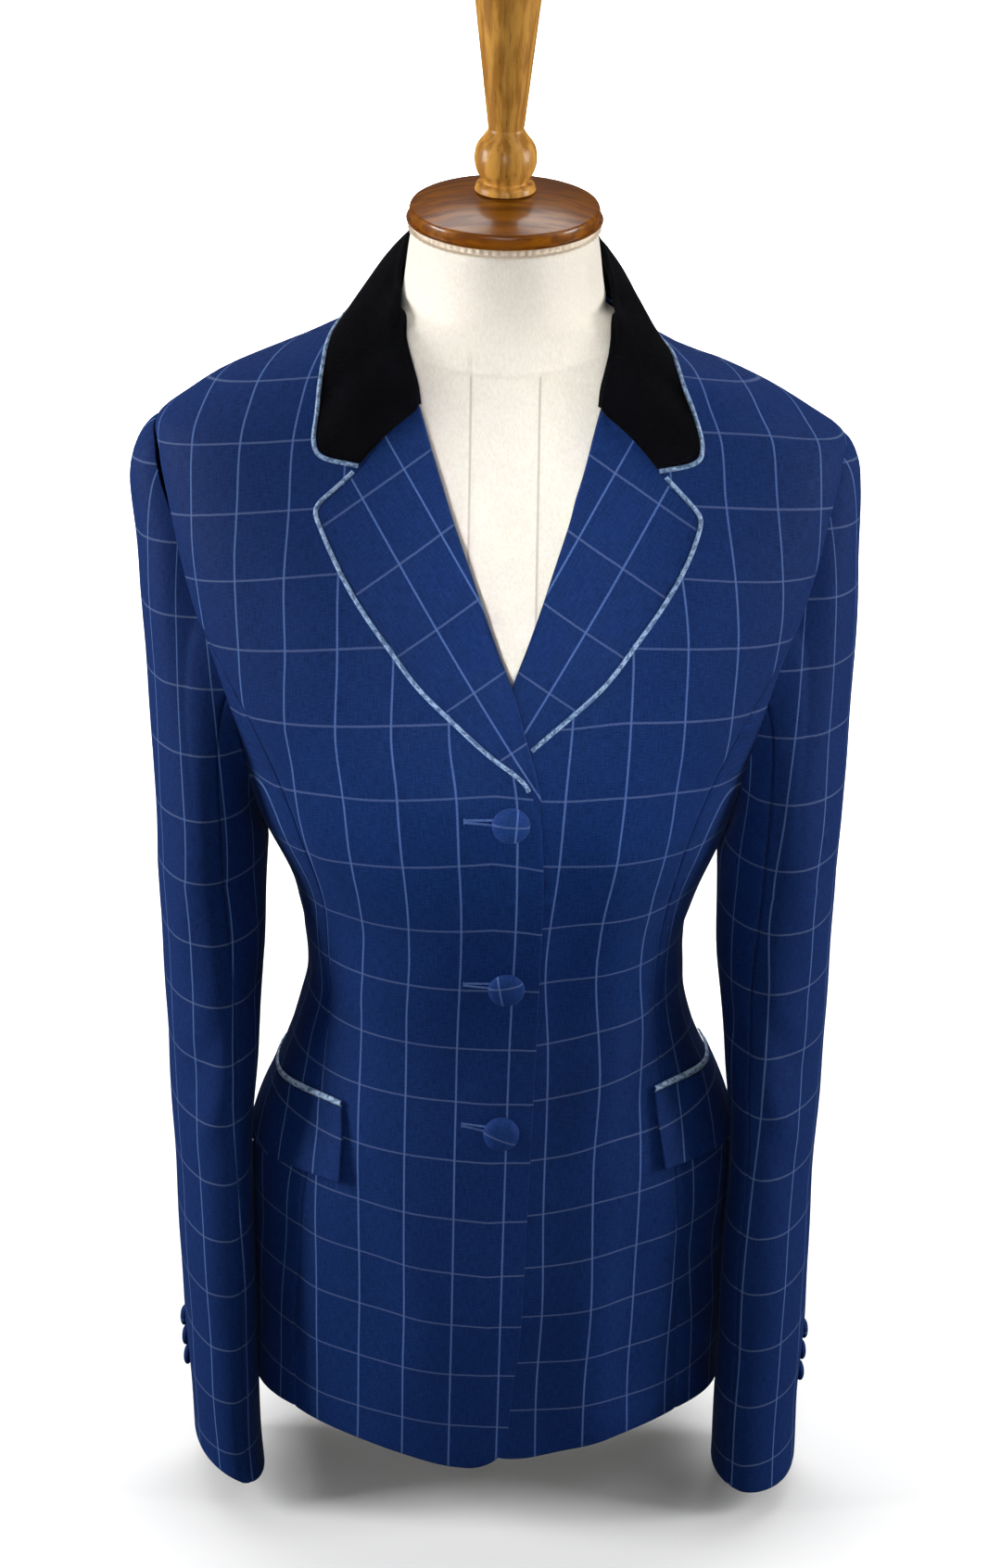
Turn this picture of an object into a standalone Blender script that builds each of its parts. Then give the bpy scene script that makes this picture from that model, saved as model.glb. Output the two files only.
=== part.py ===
# Riding show coat worn on a limbless dress form
# Frame: +X viewer's right, -Y front, +Z up, metres, underside of the foot at z = 0
import math
import bpy
import bmesh
import numpy as np
from mathutils import Matrix

WALL = 0.0015            # thickness of the cloth
SEAM = 0.0003            # gap left at every seam
LIFT = 0.0021            # a layer lies this far above the one below it
UNDER = 0.0048           # how far the under front sinks at the closure
EASE = 0.0090            # room between the form and the coat below the shoulders
SHOULDER_GAP = 0.0016    # room where the coat rests on the form
PIPE = 0.0012            # radius of the piping
SHOULDER_Z = 0.6648      # shoulder point
NECK_Z = 0.7260          # top edge of the coat's own neckline
SIDE_TOP_Z = 0.5580      # panel seam meets the armhole
UNDERARM_Z = 0.4350
HEM_Z = 0.0300           # foot of the section table
BACK_HEM_Z = 0.0500
BREAK_Z = 0.4846         # the lapel on top breaks here
UNDER_BREAK_Z = 0.4900   # the lapel below breaks here
UNDER_EDGE_X = -0.0110   # front edge of the under front
NECK_EDGE_X = 0.0600     # where the neckline meets the shoulder seam
FOOT_HALF_X = 0.0900
FOOT_HALF_Y = 0.0640
FOOT_Y = 0.0340          # centre of the foot, behind the middle
FOOT_TOP_Z = 0.0697
CUFF_SLANT = 0.0040      # the cuff is this much higher on its outer side
BUTTON_CUFF_SCALE = 0.62
CAP_TILT = math.radians(8.0)
NECK_TOP = (0.0, -0.0040, 0.7700)
COLLAR_SHIFT = 0.0045    # the neckline sits this far to the viewer's right at the gorge
TURNS = 48               # steps around a sleeve
FRONT_TURN = 15          # seam at the front of the sleeve, in steps of the ring
BACK_TURN = 37           # seam at the back of the sleeve
HEAD_ROWS = 7            # rows between the armhole and the first full section
HEAD_FULL = {-1: 1.35, 1: 1.02}    # fullness of each sleeve head

# Coat body, a row for each level section
# height, half_width, front, back, power
BODY = [
    (0.0300, 0.1480, 0.1165, 0.1180, 2.15),
    (0.1050, 0.1465, 0.1175, 0.1200, 2.15),
    (0.1650, 0.1460, 0.1160, 0.1180, 2.15),
    (0.2050, 0.1455, 0.1120, 0.1120, 2.15),
    (0.2360, 0.1412, 0.1080, 0.1040, 2.15),
    (0.2620, 0.1335, 0.1050, 0.0960, 2.15),
    (0.2910, 0.1215, 0.1020, 0.0880, 2.15),
    (0.3350, 0.1120, 0.1010, 0.0800, 2.20),
    (0.3850, 0.1190, 0.1080, 0.0840, 2.20),
    (0.4310, 0.1360, 0.1185, 0.0920, 2.20),
    (0.4750, 0.1490, 0.1245, 0.0980, 2.28),
    (0.5250, 0.1655, 0.1180, 0.1010, 2.45),
    (0.5750, 0.1795, 0.1020, 0.1000, 2.60),
    (0.6150, 0.1880, 0.0840, 0.0930, 2.60),
    (0.6500, 0.1915, 0.0670, 0.0800, 2.40),
    (0.6648, 0.1900, 0.0610, 0.0750, 2.15),
    (0.6785, 0.1738, 0.0560, 0.0710, 1.85),
    (0.6924, 0.1530, 0.0540, 0.0680, 1.80),
    (0.7063, 0.1220, 0.0530, 0.0650, 1.75),
    (0.7187, 0.0875, 0.0530, 0.0620, 1.80),
    (0.7260, 0.0660, 0.0530, 0.0600, 2.00),
]
# Heights of the rows of the coat body and of the sleeve tube
ROWS = [
    0.0300, 0.0800, 0.1300, 0.1800, 0.2200, 0.2520, 0.2750, 0.3050, 0.3350, 0.3640, 0.3950, 0.4300,
    0.4600, 0.4846, 0.5150, 0.5400, 0.5580, 0.5850, 0.6150, 0.6380, 0.6540, 0.6648, 0.6785, 0.6924,
    0.7063, 0.7187, 0.7260,
]
TUBE = [0.4050, 0.3500, 0.2900, 0.2300, 0.1700, 0.1100, 0.0600, 0.0220]
# Heights of the rings of the form below its neck
FORM_ROWS = [
    0.0700, 0.1050, 0.1400, 0.1800, 0.2200, 0.2550, 0.2900, 0.3350, 0.3750, 0.4150, 0.4500, 0.4850,
    0.5150, 0.5400, 0.5600, 0.5850, 0.6100, 0.6320, 0.6500, 0.6600, 0.6700, 0.6785, 0.6860, 0.6924,
    0.7000, 0.7063, 0.7130, 0.7187,
]
# Neck of the form above the torso
# height, half_width, front, back, y_centre, tilt
NECK = [
    (0.7265, 0.0570, 0.0520, 0.0545, 0.0000, 0.0),
    (0.7340, 0.0540, 0.0525, 0.0530, 0.0000, 0.0),
    (0.7430, 0.0522, 0.0525, 0.0520, -0.0010, 2.0),
    (0.7570, 0.0512, 0.0515, 0.0512, -0.0025, 5.0),
    (0.7700, 0.0500, 0.0500, 0.0500, -0.0040, 8.0),
]
# Seam between front and side panel: height, distance from the middle
PANEL_SEAM = [
    (0.030, 0.1170), (0.127, 0.1150), (0.180, 0.1115), (0.230, 0.1075), (0.275, 0.1025),
    (0.305, 0.0980), (0.343, 0.0950), (0.393, 0.0980), (0.445, 0.1085), (0.476, 0.1190),
    (0.500, 0.1300), (0.530, 0.1475), (0.558, 0.1640),
]
# Seam between side panel and back: height, angle from the front in degrees
BACK_SEAM = [
    (0.030, 122.0), (0.200, 124.0), (0.335, 127.0), (0.431, 124.0), (0.500, 117.0), (0.558, 111.0),
]
# Armhole above the side panel: height, front angle, back angle
ARMHOLE = [
    (0.5580, 68.0, 111.0), (0.5800, 69.5, 110.0), (0.6150, 71.5, 108.5), (0.6380, 75.0, 105.5),
    (0.6540, 80.5, 100.0), (0.6648, 90.0, 90.0),
]
# Hem: distance from the middle, height (right = viewer's left, on top at the closure)
HEM_RIGHT = [
    (-0.030, 0.0480), (0.000, 0.0475), (0.020, 0.0480), (0.050, 0.0530), (0.080, 0.0575),
    (0.115, 0.0590), (0.150, 0.0570),
]
HEM_LEFT = [
    (-0.030, 0.0560), (0.000, 0.0560), (0.020, 0.0560), (0.055, 0.0590), (0.090, 0.0620),
    (0.115, 0.0620), (0.150, 0.0590),
]
# Front edge on top at the closure: height, x
FRONT_EDGE = [
    (0.030, 0.0140), (0.075, 0.0165), (0.110, 0.0190), (0.180, 0.0215), (0.280, 0.0245),
    (0.360, 0.0265), (0.445, 0.0270), (0.4846, 0.0246),
]
# Lapels: height, roll line, outer edge, both as distances toward their own side
LAPEL_RIGHT = [
    (0.4846, -0.0246, -0.0226), (0.4966, -0.0214, -0.0150), (0.5110, -0.0172, 0.0040),
    (0.5284, -0.0121, 0.0240), (0.5447, -0.0071, 0.0420), (0.5644, 0.0012, 0.0586),
    (0.5819, 0.0081, 0.0734), (0.5976, 0.0142, 0.0847), (0.6152, 0.0213, 0.0941),
    (0.6298, 0.0270, 0.0989), (0.6400, 0.0306, 0.0872), (0.6491, 0.0338, 0.0768),
    (0.6690, 0.0405, 0.0600), (0.6840, 0.0452, 0.0478),
]
LAPEL_LEFT = [
    (0.4900, -0.0110, -0.0090), (0.5000, -0.0076, 0.0050), (0.5131, -0.0030, 0.0185),
    (0.5294, 0.0025, 0.0375), (0.5457, 0.0083, 0.0550), (0.5671, 0.0166, 0.0725),
    (0.5877, 0.0242, 0.0881), (0.6020, 0.0291, 0.0968), (0.6182, 0.0347, 0.1036),
    (0.6294, 0.0385, 0.1069), (0.6400, 0.0422, 0.0955), (0.6490, 0.0453, 0.0868),
    (0.6690, 0.0505, 0.0695), (0.6840, 0.0545, 0.0570),
]
# Collar for one side, a row for each station from the gorge to the centre back
# fold_x, fold_y, fold_z, edge_x, edge_y, edge_z, stand
COLLAR = [
    (0.0490, -0.0555, 0.6905, 0.0790, -0.0620, 0.6545, 0.00),
    (0.0505, -0.0520, 0.6965, 0.0985, -0.0570, 0.6575, 0.05),
    (0.0520, -0.0480, 0.7015, 0.1030, -0.0520, 0.6640, 0.10),
    (0.0535, -0.0400, 0.7120, 0.1010, -0.0450, 0.6780, 0.20),
    (0.0550, -0.0290, 0.7240, 0.0965, -0.0350, 0.6930, 0.35),
    (0.0562, -0.0130, 0.7380, 0.0895, -0.0190, 0.7080, 0.60),
    (0.0562, 0.0060, 0.7510, 0.0810, 0.0020, 0.7190, 0.80),
    (0.0500, 0.0340, 0.7640, 0.0690, 0.0350, 0.7170, 0.95),
    (0.0300, 0.0560, 0.7690, 0.0450, 0.0610, 0.7130, 1.00),
    (0.0000, 0.0630, 0.7705, 0.0000, 0.0690, 0.7110, 1.00),
]
# Sleeves, a row for each section of the tube
# height, centre_x, centre_y, half_width, half_depth, yaw
SLEEVE_RIGHT = [
    (0.4050, 0.1668, -0.0060, 0.0320, 0.0640, 2.0),
    (0.3500, 0.1668, -0.0130, 0.0290, 0.0600, 7.0),
    (0.2900, 0.1684, -0.0230, 0.0255, 0.0570, 12.0),
    (0.2300, 0.1704, -0.0320, 0.0238, 0.0545, 15.0),
    (0.1700, 0.1704, -0.0400, 0.0230, 0.0520, 16.0),
    (0.1100, 0.1688, -0.0470, 0.0224, 0.0490, 17.0),
    (0.0600, 0.1668, -0.0520, 0.0220, 0.0460, 17.0),
    (0.0220, 0.1650, -0.0550, 0.0216, 0.0440, 17.0),
]
SLEEVE_LEFT = [
    (0.4050, 0.1668, -0.0060, 0.0330, 0.0640, 2.0),
    (0.3500, 0.1668, -0.0130, 0.0305, 0.0600, 6.0),
    (0.2900, 0.1694, -0.0230, 0.0265, 0.0570, 11.0),
    (0.2300, 0.1722, -0.0320, 0.0250, 0.0545, 13.0),
    (0.1700, 0.1732, -0.0400, 0.0248, 0.0520, 14.0),
    (0.1100, 0.1726, -0.0470, 0.0250, 0.0490, 14.0),
    (0.0600, 0.1712, -0.0520, 0.0254, 0.0460, 14.0),
    (0.0220, 0.1698, -0.0550, 0.0256, 0.0440, 14.0),
]
# Pockets: side, front edge x at the top, front edge x at the foot, top height, foot height
POCKETS = [
    ("right", -1, 0.0860, 0.0880, 0.2725, 0.2290),
    ("left", 1, 0.0945, 0.1010, 0.2805, 0.2360),
]
POCKET_BACK = math.radians(103.0)
# Front buttons: x, height, room under it
BUTTONS = [(0.0090, 0.4723, 0.0001), (0.0082, 0.3640, 0.0006), (0.0068, 0.2710, 0.0005)]
# Cuff buttons: height
CUFF_BUTTONS = [0.0860, 0.0715, 0.0570]
CUFF_ANGLE = math.radians(-38.0)
# Turned profiles: radius, height
BUTTON = [(0.0, 0.0), (0.0075, 0.0), (0.0098, 0.0012), (0.0103, 0.0026), (0.0096, 0.0044), (0.0070, 0.0059),
          (0.0035, 0.0066), (0.0, 0.0068)]
CAP = [(0.0, 0.0), (0.0490, 0.0), (0.0512, 0.0015), (0.0512, 0.0060), (0.0490, 0.0082), (0.0350, 0.0120),
       (0.0190, 0.0145), (0.0, 0.0150)]
FINIAL = [(0.0, 0.0), (0.0150, 0.0), (0.0160, 0.0020), (0.0150, 0.0042), (0.0125, 0.0055), (0.0155, 0.0110),
          (0.0168, 0.0175), (0.0155, 0.0245), (0.0115, 0.0300), (0.0095, 0.0335), (0.0100, 0.0370),
          (0.0128, 0.0620), (0.0165, 0.0950), (0.0185, 0.1150), (0.0180, 0.1260), (0.0140, 0.1330),
          (0.0070, 0.1362), (0.0, 0.1368)]
BAND = [(0.0, 0.0), (0.0488, 0.0), (0.0495, 0.0010), (0.0495, 0.0034), (0.0488, 0.0044), (0.0, 0.0044)]

COLOURS = {
    "cloth": (0.020, 0.045, 0.180, 1.0),
    "velvet": (0.006, 0.007, 0.012, 1.0),
    "brocade": (0.250, 0.400, 0.620, 1.0),
    "form": (0.850, 0.790, 0.680, 1.0),
    "wood": (0.260, 0.120, 0.040, 1.0),
}

for old in list(bpy.data.objects):
    bpy.data.objects.remove(old)
collection = bpy.data.collections.new("riding_show_coat_on_dress_form")
bpy.context.scene.collection.children.link(collection)


def material(kind):
    found = bpy.data.materials.get(kind)
    if found:
        return found
    made = bpy.data.materials.new(kind)
    made.use_nodes = True
    shader = made.node_tree.nodes["Principled BSDF"]
    shader.inputs["Base Color"].default_value = COLOURS[kind]
    shader.inputs["Roughness"].default_value = 0.35 if kind == "wood" else 0.85
    return made


def place(name, data, kind):
    made = bpy.data.objects.new(name, data)
    data.materials.append(material(kind))
    collection.objects.link(made)
    return made


def smooth(table, column, at):
    rows = np.array(table, float)
    xs = rows[:, 0]
    ys = rows[:, column]
    slopes = np.gradient(ys, xs)
    i = int(np.clip(np.searchsorted(xs, at) - 1, 0, len(xs) - 2))
    step = xs[i + 1] - xs[i]
    t = min(max((at - xs[i]) / step, 0.0), 1.0)
    start = (2 * t ** 3 - 3 * t * t + 1) * ys[i] + (t ** 3 - 2 * t * t + t) * step * slopes[i]
    end = (3 * t * t - 2 * t ** 3) * ys[i + 1] + (t ** 3 - t * t) * step * slopes[i + 1]
    return float(start + end)


def straight(table, column, at):
    rows = np.array(table, float)
    return float(np.interp(at, rows[:, 0], rows[:, column]))


def ramp(low, high, at):
    t = min(max((at - low) / (high - low), 0.0), 1.0)
    return t * t * (3 - 2 * t)


def unit(v):
    return v / np.linalg.norm(v)


# Body surface by angle from the front and height
def section(z):
    return [smooth(BODY, column, z) for column in (1, 2, 3, 4)]


def body(angle, z):
    half, front, back, power = section(z)
    s = math.sin(angle)
    c = math.cos(angle)
    depth = front if c > 0 else back
    x = half * math.copysign(abs(s) ** (2 / power), s)
    y = -depth * math.copysign(abs(c) ** (2 / power), c)
    return np.array([x, y, z])


def normal(angle, z):
    step = 0.004
    low = max(z - step, HEM_Z)
    high = min(z + step, NECK_Z)
    around = body(angle + step, z) - body(angle - step, z)
    up = body(angle, high) - body(angle, low)
    return unit(np.cross(around, up))


def coat(angle, z, out=0.0):
    return body(angle, z) + normal(angle, z) * out


def angle_at(x, z):
    half = section(z)[0]
    power = section(z)[3]
    return math.copysign(math.asin(min(1.0, (abs(x) / half) ** (power / 2))), x)


def arc(angle, z):
    return float(np.linalg.norm(body(angle + 0.01, z) - body(angle - 0.01, z))) / 0.02


# How far outside the coat a point lies, and the way out
def outside(p):
    half, front, back, power = section(min(max(p[2], HEM_Z), NECK_Z))
    depth = front if p[1] < 0 else back
    return ((abs(p[0]) / half) ** power + (abs(p[1]) / depth) ** power) ** (1 / power)


def pushed_out(p, gap):
    p = np.array(p, float)
    for _ in range(8):
        slope = np.array([outside(p + d) - outside(p - d) for d in np.eye(3) * 0.0005]) / 0.001
        size = np.linalg.norm(slope)
        away = (outside(p) - 1) / size
        if away >= gap:
            break
        p = p + slope / size * (gap - away)
    return p


def closed(name, points, faces, kind):
    data = bpy.data.meshes.new(name)
    data.from_pydata(points, [], faces)
    fixed = bmesh.new()
    fixed.from_mesh(data)
    bmesh.ops.recalc_face_normals(fixed, faces=fixed.faces)
    bmesh.ops.triangulate(fixed, faces=fixed.faces)
    fixed.to_mesh(data)
    fixed.free()
    return place(name, data, kind)


# Closed thin solid between two grids of points
def shell(name, outer, inner, kind):
    rows = len(outer)
    cols = len(outer[0])
    count = rows * cols
    points = [tuple(p) for row in outer for p in row] + [tuple(p) for row in inner for p in row]
    faces = []
    for i in range(rows - 1):
        for j in range(cols - 1):
            a = i * cols + j
            quad = (a, a + 1, a + cols + 1, a + cols)
            faces.append(quad)
            faces.append(tuple(count + k for k in reversed(quad)))
    rim = [j for j in range(cols)]
    rim += [i * cols + cols - 1 for i in range(1, rows)]
    rim += [(rows - 1) * cols + j for j in range(cols - 2, -1, -1)]
    rim += [i * cols for i in range(rows - 2, 0, -1)]
    for a, b in zip(rim, rim[1:] + rim[:1]):
        faces.append((b, a, count + a, count + b))
    return closed(name, points, faces, kind)


# Grid moved along its own normals
def moved(grid, distance):
    g = np.array(grid, float)
    along = np.gradient(g, axis=0)
    across = np.gradient(g, axis=1)
    n = np.cross(across, along)
    n /= np.linalg.norm(n, axis=2, keepdims=True)
    return g + n * distance


def turned(name, profile, kind, origin, axis, sides, scale=1.0):
    data = bpy.data.meshes.new(name)
    points = [(r * scale, 0.0, h * scale) for r, h in profile]
    data.from_pydata(points, [(i, i + 1) for i in range(len(points) - 1)], [])
    made = place(name, data, kind)
    screw = made.modifiers.new("turn", "SCREW")
    screw.steps = sides
    screw.render_steps = sides
    screw.use_merge_vertices = True
    screw.merge_threshold = 0.00001
    screw.use_normal_calculate = True
    z_axis = unit(np.array(axis, float))
    side = np.array([1.0, 0.0, 0.0]) if abs(z_axis[0]) < 0.9 else np.array([0.0, 0.0, 1.0])
    y_axis = unit(np.cross(z_axis, side))
    x_axis = np.cross(y_axis, z_axis)
    frame = np.eye(4)
    frame[:3, 0] = x_axis
    frame[:3, 1] = y_axis
    frame[:3, 2] = z_axis
    frame[:3, 3] = origin
    made.matrix_world = Matrix(frame.tolist())
    return made


def piping(name, path, sides=6):
    path = np.array(path)
    ways = np.gradient(path, axis=0)
    rings = []
    for p, way in zip(path, ways):
        way = unit(way)
        across = unit(np.cross(way, np.array([0.0, -1.0, 0.2])))
        other = np.cross(way, across)
        turns = [2 * math.pi * k / sides for k in range(sides)]
        rings.append([p + (across * math.cos(t) + other * math.sin(t)) * PIPE for t in turns])
    points = [tuple(p) for ring in rings for p in ring]
    faces = []
    for i in range(len(rings) - 1):
        for k in range(sides):
            m = (k + 1) % sides
            faces.append((i * sides + k, i * sides + m, (i + 1) * sides + m, (i + 1) * sides + k))
    faces.append(tuple(range(sides)))
    faces.append(tuple((len(rings) - 1) * sides + k for k in range(sides)))
    return closed(name, points, faces, "brocade")


# How far each front lies from the body surface
def layer(side, x, z):
    if side < 0:
        return 0.0
    return -UNDER * (1 - ramp(0.030, 0.066, x))


def hem(side, x):
    return straight(HEM_RIGHT if side < 0 else HEM_LEFT, 1, x * side)


def bottom(z, level, reach=0.17):
    share = 1 - ramp(HEM_Z, reach, z)
    return z + (level - HEM_Z) * share


def roll(side, z):
    table = LAPEL_RIGHT if side < 0 else LAPEL_LEFT
    return side * straight(table, 1, z)


def inner_edge(side, z):
    if side < 0 and z < BREAK_Z:
        return smooth(FRONT_EDGE, 1, z)
    if side > 0 and z < UNDER_BREAK_Z:
        return UNDER_EDGE_X
    top = LAPEL_RIGHT[-1] if side < 0 else LAPEL_LEFT[-1]
    if z > top[0]:
        t = (z - top[0]) / (NECK_Z - top[0])
        return side * (top[1] + (NECK_EDGE_X - top[1]) * t)
    return roll(side, z)


def outer_angle(z):
    if z <= SIDE_TOP_Z:
        return angle_at(smooth(PANEL_SEAM, 1, z), z)
    if z < SHOULDER_Z:
        return math.radians(straight(ARMHOLE, 1, z))
    return math.pi / 2


def back_angle(z):
    if z <= SIDE_TOP_Z:
        return math.radians(smooth(BACK_SEAM, 1, z))
    if z < SHOULDER_Z:
        return math.radians(straight(ARMHOLE, 2, z))
    return math.pi / 2


def front(name, side, cols=10):
    outer = []
    inner = []
    for z in ROWS:
        first = angle_at(inner_edge(side, z), z)
        last = side * (outer_angle(z) - SEAM / 2 / arc(outer_angle(z), z))
        row = []
        back = []
        for t in np.linspace(0.0, 1.0, cols):
            a = first + (last - first) * t
            x = body(a, z)[0]
            level = bottom(z, hem(side, x))
            out = layer(side, x, z)
            row.append(coat(a, level, out))
            back.append(coat(a, level, out - WALL))
        outer.append(row)
        inner.append(back)
    return shell(name, outer, inner, "cloth")


def back(name, side, cols=8):
    outer = []
    inner = []
    for z in ROWS:
        first = math.pi - SEAM / 2 / arc(math.pi, z)
        last = back_angle(z) + SEAM / 2 / arc(back_angle(z), z)
        row = []
        under = []
        for t in np.linspace(0.0, 1.0, cols):
            a = side * (first + (last - first) * t)
            level = bottom(z, BACK_HEM_Z)
            row.append(coat(a, level))
            under.append(coat(a, level, -WALL))
        outer.append(row)
        inner.append(under)
    return shell(name, outer, inner, "cloth")


def armhole_foot(t):
    w = abs(2 * t - 1)
    k = 0.25
    share = (math.hypot(w, k) - k) / (math.hypot(1, k) - k)
    return UNDERARM_Z + (SIDE_TOP_Z - UNDERARM_Z) * share


def side_point(side, t, z, out=0.0):
    first = outer_angle(z) + SEAM / 2 / arc(outer_angle(z), z)
    last = back_angle(z) - SEAM / 2 / arc(back_angle(z), z)
    a = first + (last - first) * t
    x = body(a, z)[0]
    level = bottom(z, BACK_HEM_Z)
    if t < 1:
        level = bottom(z, BACK_HEM_Z + (hem(side, side * x) - BACK_HEM_Z) * (1 - ramp(0.0, 0.7, t)))
    return coat(side * a, level, out)


def side_panel(name, side, cols=7):
    outer = []
    inner = []
    for level in [z for z in ROWS if z <= SIDE_TOP_Z]:
        share = (level - HEM_Z) / (SIDE_TOP_Z - HEM_Z)
        row = []
        under = []
        for t in np.linspace(0.0, 1.0, cols):
            z = HEM_Z + (armhole_foot(t) - HEM_Z) * share
            row.append(side_point(side, t, z))
            under.append(side_point(side, t, z, -WALL))
        outer.append(row)
        inner.append(under)
    return shell(name, outer, inner, "cloth")


# Sleeve lines run from the armhole to the cuff
def armhole(side, count):
    points = []
    for z in np.linspace(SHOULDER_Z, SIDE_TOP_Z, 24):
        points.append(coat(side * outer_angle(z) if z < SHOULDER_Z else side * math.pi / 2, z))
    for t in np.linspace(0.0, 1.0, 33)[1:-1]:
        points.append(side_point(side, t, armhole_foot(t)))
    for z in np.linspace(SIDE_TOP_Z, SHOULDER_Z, 24):
        points.append(coat(side * back_angle(z) if z < SHOULDER_Z else side * math.pi / 2, z))
    points = np.array(points)
    lengths = np.concatenate([[0.0], np.cumsum(np.linalg.norm(np.diff(points, axis=0), axis=1))])
    spots = np.linspace(0.0, lengths[-1], count + 1)
    return np.stack([np.interp(spots, lengths, points[:, k]) for k in range(3)], axis=1)


def ring_point(side, table, z, turn):
    cx, cy, hw, hd, yaw = [smooth(table[::-1], k, z) for k in (1, 2, 3, 4, 5)]
    out = hw * math.copysign(abs(math.cos(turn)) ** 0.9, math.cos(turn))
    fore = -hd * math.copysign(abs(math.sin(turn)) ** 0.9, math.sin(turn))
    w = math.radians(yaw)
    x = cx + out * math.cos(w) + fore * math.sin(w)
    y = cy + fore * math.cos(w) - out * math.sin(w)
    return np.array([side * x, y, z])


def cuff_height(table, z, turn):
    share = 1 - ramp(table[-1][0], 0.15, z)
    return z + share * CUFF_SLANT * math.cos(turn)


def sleeve_lines(side, table):
    start = armhole(side, TURNS)
    lines = []
    for k in range(TURNS + 1):
        turn = 2 * math.pi * k / TURNS
        top = start[k] + np.array([side * 0.0008, 0.0, -SEAM])
        top_share = (1 + math.cos(turn)) / 2
        end = ring_point(side, table, TUBE[0], turn)
        reach = np.linalg.norm(end - top)
        full = 0.25 + HEAD_FULL[side] * top_share
        way = unit(end - top) + np.array([side * full, 0.0, 0.10 * top_share])
        begin = unit(way) * reach * (0.55 - 0.15 * top_share)
        finish = np.array([0.0, 0.0, -1.0]) * reach * 0.9
        line = []
        for s in np.linspace(0.0, 1.0, HEAD_ROWS + 1):
            p = (2 * s ** 3 - 3 * s * s + 1) * top + (s ** 3 - 2 * s * s + s) * begin
            p = p + (3 * s * s - 2 * s ** 3) * end + (s ** 3 - s * s) * finish
            line.append(p)
        for z in TUBE[1:]:
            p = ring_point(side, table, z, turn)
            p[2] = cuff_height(table, z, turn)
            line.append(p)
        lines.append(line)
    return np.array(lines)


def sleeve(top_name, under_name, side, table):
    lines = sleeve_lines(side, table)
    rounds = np.concatenate([lines[:-1], lines[:-1], lines[:1]])
    along = np.gradient(rounds, axis=1)
    across = np.gradient(rounds, axis=0)
    n = np.cross(across, along) * side
    n /= np.linalg.norm(n, axis=2, keepdims=True)
    middle = rounds.mean(axis=0, keepdims=True)
    if np.mean(np.sum(n * (rounds - middle), axis=2)) < 0:
        n = -n
    across /= np.linalg.norm(across, axis=2, keepdims=True)
    spans = [(top_name, BACK_TURN, TURNS + FRONT_TURN), (under_name, FRONT_TURN, BACK_TURN)]
    for name, first, last in spans:
        picks = list(range(first, last + 1, 2))
        if picks[-1] != last:
            picks.append(last)
        outer = rounds[picks].copy()
        outer[0] += across[first] * SEAM / 2
        outer[-1] -= across[last] * SEAM / 2
        inner = outer - n[picks] * WALL
        shell(name, outer, inner, "cloth")


def lapel_point(side, x, z, out):
    a = angle_at(x, z)
    return coat(a, z, layer(side, x, z) + out)


def lapel(name, side, table, cols=5):
    outer = []
    inner = []
    for z, rolled, edge in table:
        row = []
        under = []
        for t in np.linspace(0.0, 1.0, cols):
            x = side * (rolled + (edge - rolled) * t)
            rise = LIFT + 0.0020 * (1 - t) ** 2 * ramp(0.545, 0.580, z)
            row.append(lapel_point(side, x, z, rise))
            under.append(lapel_point(side, x, z, rise - WALL))
        outer.append(row)
        inner.append(under)
    return shell(name, outer, inner, "cloth")


def lapel_piping(name, side, table, first, last):
    path = []
    rows = table[first:last]
    for i, row in enumerate(rows):
        before = rows[max(i - 1, 0)]
        after = rows[min(i + 1, len(rows) - 1)]
        way = np.array([after[2] - before[2], after[0] - before[0]])
        across = np.array([way[1], -way[0]]) / np.linalg.norm(way)
        away = PIPE + 2 * SEAM
        x = side * (row[2] + across[0] * away)
        path.append(lapel_point(side, x, row[0] + across[1] * away, PIPE + 2 * SEAM))
    return piping(name, path)


# Collar: fall from the outer edge up to the fold, then the stand down inside
def collar_row(station, side):
    shift = np.array([COLLAR_SHIFT * (1 - station[6]), 0.0, 0.0])
    mirror = np.array([side, 1.0, 1.0])
    fold = np.array(station[0:3]) * mirror + shift
    edge = pushed_out(np.array(station[3:6]) * mirror + shift, LIFT + 0.0014)
    share = station[6]
    rise = np.array([0.0, 0.0, 1.0])
    away = unit(np.array([fold[0], fold[1], 0.0]))
    row = []
    for t in (0.0, 0.2, 0.4, 0.6, 0.8, 0.93):
        p = edge + (fold - edge) * t
        p = p + (away * 0.006 + rise * 0.008) * math.sin(math.pi * t) * (0.4 + 0.6 * share)
        row.append(pushed_out(p, LIFT + 0.0016) if p[2] < NECK_Z else p)
    row.append(pushed_out(fold + rise * 0.001, LIFT + 0.0016) if fold[2] < NECK_Z else fold + rise * 0.001)
    base = coat(math.atan2(fold[0], -fold[1]), NECK_Z)
    base = base - away * 0.0002
    base[2] = NECK_Z + 0.0025
    drop = base - fold
    stand = [fold - away * 0.0024 + drop * 0.10, fold - away * 0.0016 + drop * 0.55, fold + drop]
    if share < 0.5:
        steps = [(0.0010, 0.0010), (0.0014, 0.0022), (0.0014, 0.0034)]
        stand = [pushed_out(row[-1] + rise * up - away * back, WALL + 0.0012) for up, back in steps]
    return row + stand


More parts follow.
